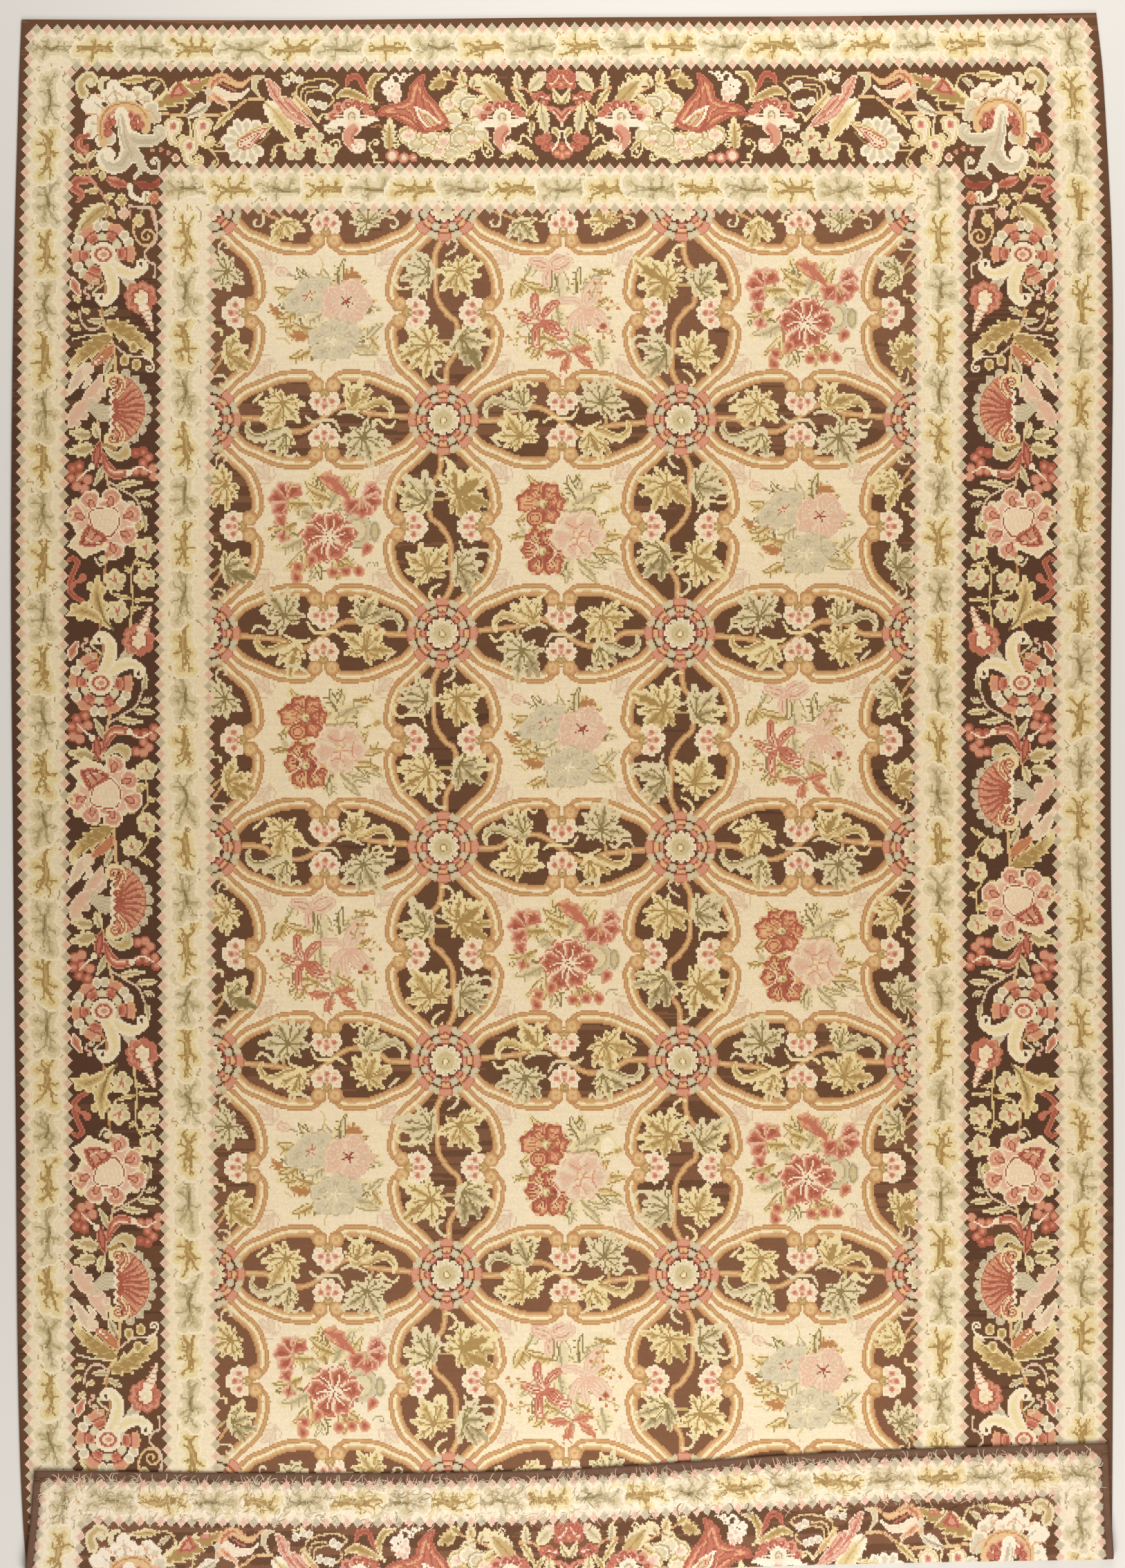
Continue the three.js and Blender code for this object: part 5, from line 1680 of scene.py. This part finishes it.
def loose_wool(colours):
    """Loose ends of wool: matt and downy, each end a shade lighter or darker than the next."""
    made, tree = new_material(
        "loose_wool_ends", Roughness=0.95, Specular_IOR_Level=0.2, Sheen_Weight=0.2, Sheen_Roughness=0.6)
    place = add(tree, "TexCoord").outputs["Object"]
    tone = add(tree, "TexNoise", {"Vector": place, "Scale": 90.0, "Detail": 1.0}).outputs["Fac"]
    value = add(tree, "Math", (tone, 0.5, 0.8), operation="MULTIPLY_ADD")
    number = add(tree, "Attribute", attribute_name="yarn").outputs["Fac"]
    fibre = add(tree, "TexNoise", {"Vector": place, "Scale": 2600.0, "Detail": 2.0}).outputs["Fac"]
    dress(tree, dyed(tree, number, colours), value, fibre, 0.0003, 0.6)
    return made


def tail_paths(chance, count):
    """Where the loose ends lie on the reverse of the part folded over."""
    across = chance.uniform(-WIDEST / 2 + 24, WIDEST / 2 - 24, count)
    first = bend_start(across) + BEND_LONG + SLOPE_LONG + SETTLE_LONG
    near_hem = chance.random(count) < 0.3
    along = np.where(near_hem, LENGTH - chance.uniform(20, 36, count), chance.uniform(first, LENGTH - 24))
    heading = np.where(near_hem, chance.uniform(0.6, 2.5, count), chance.uniform(0, 2 * math.pi, count))
    long = chance.uniform(9, 26, count)
    curl = chance.uniform(-2.2, 2.2, count)
    t = np.linspace(0, 1, 6)[None]
    turn = heading[:, None] + curl[:, None] * t
    steps = np.stack([np.cos(turn), np.sin(turn)], -1) * (long / 5)[:, None, None]
    place = np.cumsum(steps, 1) + np.stack([across, along], -1)[:, None]
    place[..., 0] = np.clip(place[..., 0], -WIDEST / 2 + 6, WIDEST / 2 - 6)
    place[..., 1] = np.minimum(place[..., 1], LENGTH - 3)
    lift = THICK - 0.4 + chance.uniform(0.6, 2.2, count)[:,
            None] * np.sin(math.pi * np.minimum(t * 1.15, 1)) ** 0.6
    return np.concatenate([place, lift[..., None]], -1), across, along


HEM_EVERY = 17  # millimetres from one hem stitch to the next


def hem_paths():
    """Small slanted stitches that hold the inner edge of the tape, all the way round."""
    edge, half = TAPE_WIDE, WIDEST / 2
    first = edge + 10
    paths = []
    for y in np.arange(first, LENGTH - first, HEM_EVERY):
        for x, way in ((half - edge, -1), (edge - half, 1)):
            paths.append([(x - 4.5 * way, y - 3), (x, y), (x + 3.5 * way, y + 2.4)])
    for x in np.arange(first - half, half - first, HEM_EVERY):
        for y, way in ((LENGTH - edge, -1), (edge, 1)):
            paths.append([(x - 3, y - 4.5 * way), (x, y), (x + 2.4, y + 3.5 * way)])
    paths = np.array(paths, float)
    # Only on the part folded over is there room for them to stand proud of the tape.
    folded = paths[:, 1, 1] > bend_start(paths[:, 1, 0]) + BEND_LONG / 2
    top = np.where(folded, THICK + 0.15, THICK - 0.55)[:, None] + np.array([-0.35, 0.0, -0.3])
    return np.concatenate([paths, top[..., None]], -1)


def colour_setting(name, description, code):
    return FloatVectorProperty(
        name=name, description=description, default=linear(code), subtype="COLOR", size=3, min=0, max=1)


YarnColours = type("YarnColours", (bpy.types.PropertyGroup,), {
    "__doc__": "The colour of each yarn in the stitched pattern.",
    "__annotations__": {
        name: colour_setting(name.capitalize(), f"The {name} wool", code) for name, code in YARNS.items()
    },
})


BINDINGS = ("binding_far_end", "binding_near_end", "binding_left", "binding_right")


class CarpetSettings(bpy.types.PropertyGroup):
    """Sizes and colours of the carpet's cloth and its binding."""

    stitch_relief: FloatProperty(
        name="Stitch relief", description="How far a strand of wool stands up", default=0.0007,
        min=0, max=0.002, precision=4, subtype="DISTANCE", unit="LENGTH")
    tape_colour: colour_setting("Tape", "The binding tape on the hem", "6d4f3d")
    loose_ends: IntProperty(
        name="Loose ends", description="How many ends of yarn show on the fold", default=1900, min=1)
    seed: IntProperty(name="Seed", description="Varies how the loose ends lie", default=7, min=0)
    floor_colour: colour_setting("Floor", "The plain floor of the studio", "d9d4cc")


def finish_piece(piece, finish, slot, *nodes):
    """Gives a piece its finish, the body it rides on, its slot and the part's nodes that it replaces."""
    piece.data.materials.append(finish)
    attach(piece, "root")
    if nodes:
        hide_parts(*nodes)


class CARPET_OT_cloth(bpy.types.Operator):
    """Lays the stitched cloth with its near end folded over"""

    bl_idname = "carpet.cloth"
    bl_label = "Stitched Cloth"

    def execute(self, context):
        wool = stitched_wool(context.scene.yarn_colours, context.scene.carpet.stitch_relief)
        finish_piece(build_cloth(stitched_chart()), wool, "stitched_wool", "rug_cloth")
        return {"FINISHED"}


class CARPET_OT_binding(bpy.types.Operator):
    """Binds the hem on the reverse with four strips of tape"""

    bl_idname = "carpet.binding"
    bl_label = "Binding Tape"

    def execute(self, context):
        finish = twill_tape(context.scene.carpet.tape_colour)
        gap_c, gap_r = PIECE_GAP / WIDEST * COLS, PIECE_GAP / ROW_LONG
        along = grid_lines(ROWS, 3, TAPE_ROWS + gap_r, 0, fine_rows())
        along = along[(along >= TAPE_ROWS + gap_r) & (along <= ROWS - TAPE_ROWS - gap_r)]
        across = np.arange(0, COLS + 1, 4)
        wide, deep = np.linspace(0, TAPE_COLS - gap_c, 4), np.linspace(0, TAPE_ROWS - gap_r, 4)
        strips = (
            (across, deep), (across, ROWS - deep[::-1]), (wide, along), (COLS - wide[::-1], along))
        for name, (columns, rows), node in zip(BINDINGS, strips, TAPES):
            finish_piece(build_tape(name, columns, rows), finish, "woven_tape", node)
        return {"FINISHED"}


class CARPET_OT_ends(bpy.types.Operator):
    """Adds the loose yarn ends of the reverse and the stitches along the hem"""

    bl_idname = "carpet.ends"
    bl_label = "Loose Ends and Hem Stitches"

    def execute(self, context):
        settings, finish = context.scene.carpet, loose_wool(context.scene.yarn_colours)
        chance = np.random.default_rng(settings.seed)
        paths, across, along = tail_paths(chance, settings.loose_ends)
        col = np.clip((across / WIDEST + 0.5) * COLS, 0, COLS - 1).astype(int)
        numbers = stitched_chart()[np.clip(along / ROW_LONG, 0, ROWS - 1).astype(int), col]
        tails = strands("yarn_ends", paths, 1.9, 1.1, numbers)
        hem = hem_paths()
        stitches = strands("hem_stitches", hem, 1.5, 0.5, np.full(len(hem), NUMBER["umber"]))
        finish_piece(tails, finish, "stitched_wool")
        finish_piece(stitches, finish, "woven_tape")
        return {"FINISHED"}


# Two soft lamps over the ends, each with its place, what it points at, and its power in watts.
LAMPS = (("far_end", (0.5, 2.8, 2.6), (0.1, 0.8, 0), 95), ("near_end", (0.4, -2.9, 2.6), (0.1, -0.8, 0), 104))
LAMP_SIZE, ROOM_LIGHT = 2.2, 0.3
# The camera looks straight down.
CAMERA_PLACE, LENS, SENSOR = (0.0003, 0.0199, 6.0), 62.05, 36


class CARPET_OT_stage(bpy.types.Operator):
    """Sets the plain floor, the soft lights and the camera above"""

    bl_idname = "carpet.stage"
    bl_label = "Studio"

    def execute(self, context):
        bpy.ops.mesh.primitive_plane_add(size=30, location=(0, 0, 0))
        floor = context.object
        floor.name = "studio_floor"
        paint = (*context.scene.carpet.floor_colour, 1)
        floor.data.materials.append(new_material(
            "painted_floor", Base_Color=paint, Roughness=0.8, Specular_IOR_Level=0.2)[0])
        for name, place, aim, power in LAMPS:
            lamp = bpy.data.lights.new(name, "AREA")
            lamp.size, lamp.energy = LAMP_SIZE, power
            light = bpy.data.objects.new(name, lamp)
            light.location = place
            light.rotation_euler = (Vector(aim) - Vector(place)).to_track_quat("-Z", "Y").to_euler()
            context.scene.collection.objects.link(light)
        world = bpy.data.worlds.new("soft_room")
        world.use_nodes = True
        room = world.node_tree.nodes["Background"].inputs
        room[0].default_value, room[1].default_value = (1.0, 0.98, 0.95, 1), ROOM_LIGHT
        context.scene.world = world
        eye = bpy.data.cameras.new("overhead_camera")
        eye.lens, eye.sensor_width = LENS, SENSOR
        camera = bpy.data.objects.new("overhead_camera", eye)
        camera.location = CAMERA_PLACE
        context.scene.collection.objects.link(camera)
        context.scene.camera = camera
        context.scene.view_settings.view_transform = "Standard"
        return {"FINISHED"}


class CARPET_PT_panel(bpy.types.Panel):
    """Lists the carpet's pieces and colours"""

    bl_idname = "CARPET_PT_panel"
    bl_label = "Carpet"
    bl_space_type = "VIEW_3D"
    bl_region_type = "UI"
    bl_category = "Carpet"

    def draw(self, context):
        for step in STEPS:
            self.layout.operator(step.bl_idname)
        for group in (context.scene.carpet, context.scene.yarn_colours):
            for name in group.__annotations__:
                self.layout.prop(group, name)


STEPS = (CARPET_OT_cloth, CARPET_OT_binding, CARPET_OT_ends, CARPET_OT_stage)
CLASSES = (YarnColours, CarpetSettings, CARPET_PT_panel, *STEPS)


def register():
    for cls in CLASSES:
        bpy.utils.register_class(cls)
    bpy.types.Scene.carpet = PointerProperty(type=CarpetSettings)
    bpy.types.Scene.yarn_colours = PointerProperty(type=YarnColours)


def unregister():
    del bpy.types.Scene.yarn_colours
    del bpy.types.Scene.carpet
    for cls in reversed(CLASSES):
        bpy.utils.unregister_class(cls)


def main():
    register()
    bpy.ops.object.select_all(action="DESELECT")
    bpy.ops.carpet.cloth()
    bpy.ops.carpet.binding()
    bpy.ops.carpet.ends()
    bpy.ops.carpet.stage()


if __name__ == "__main__":
    main()
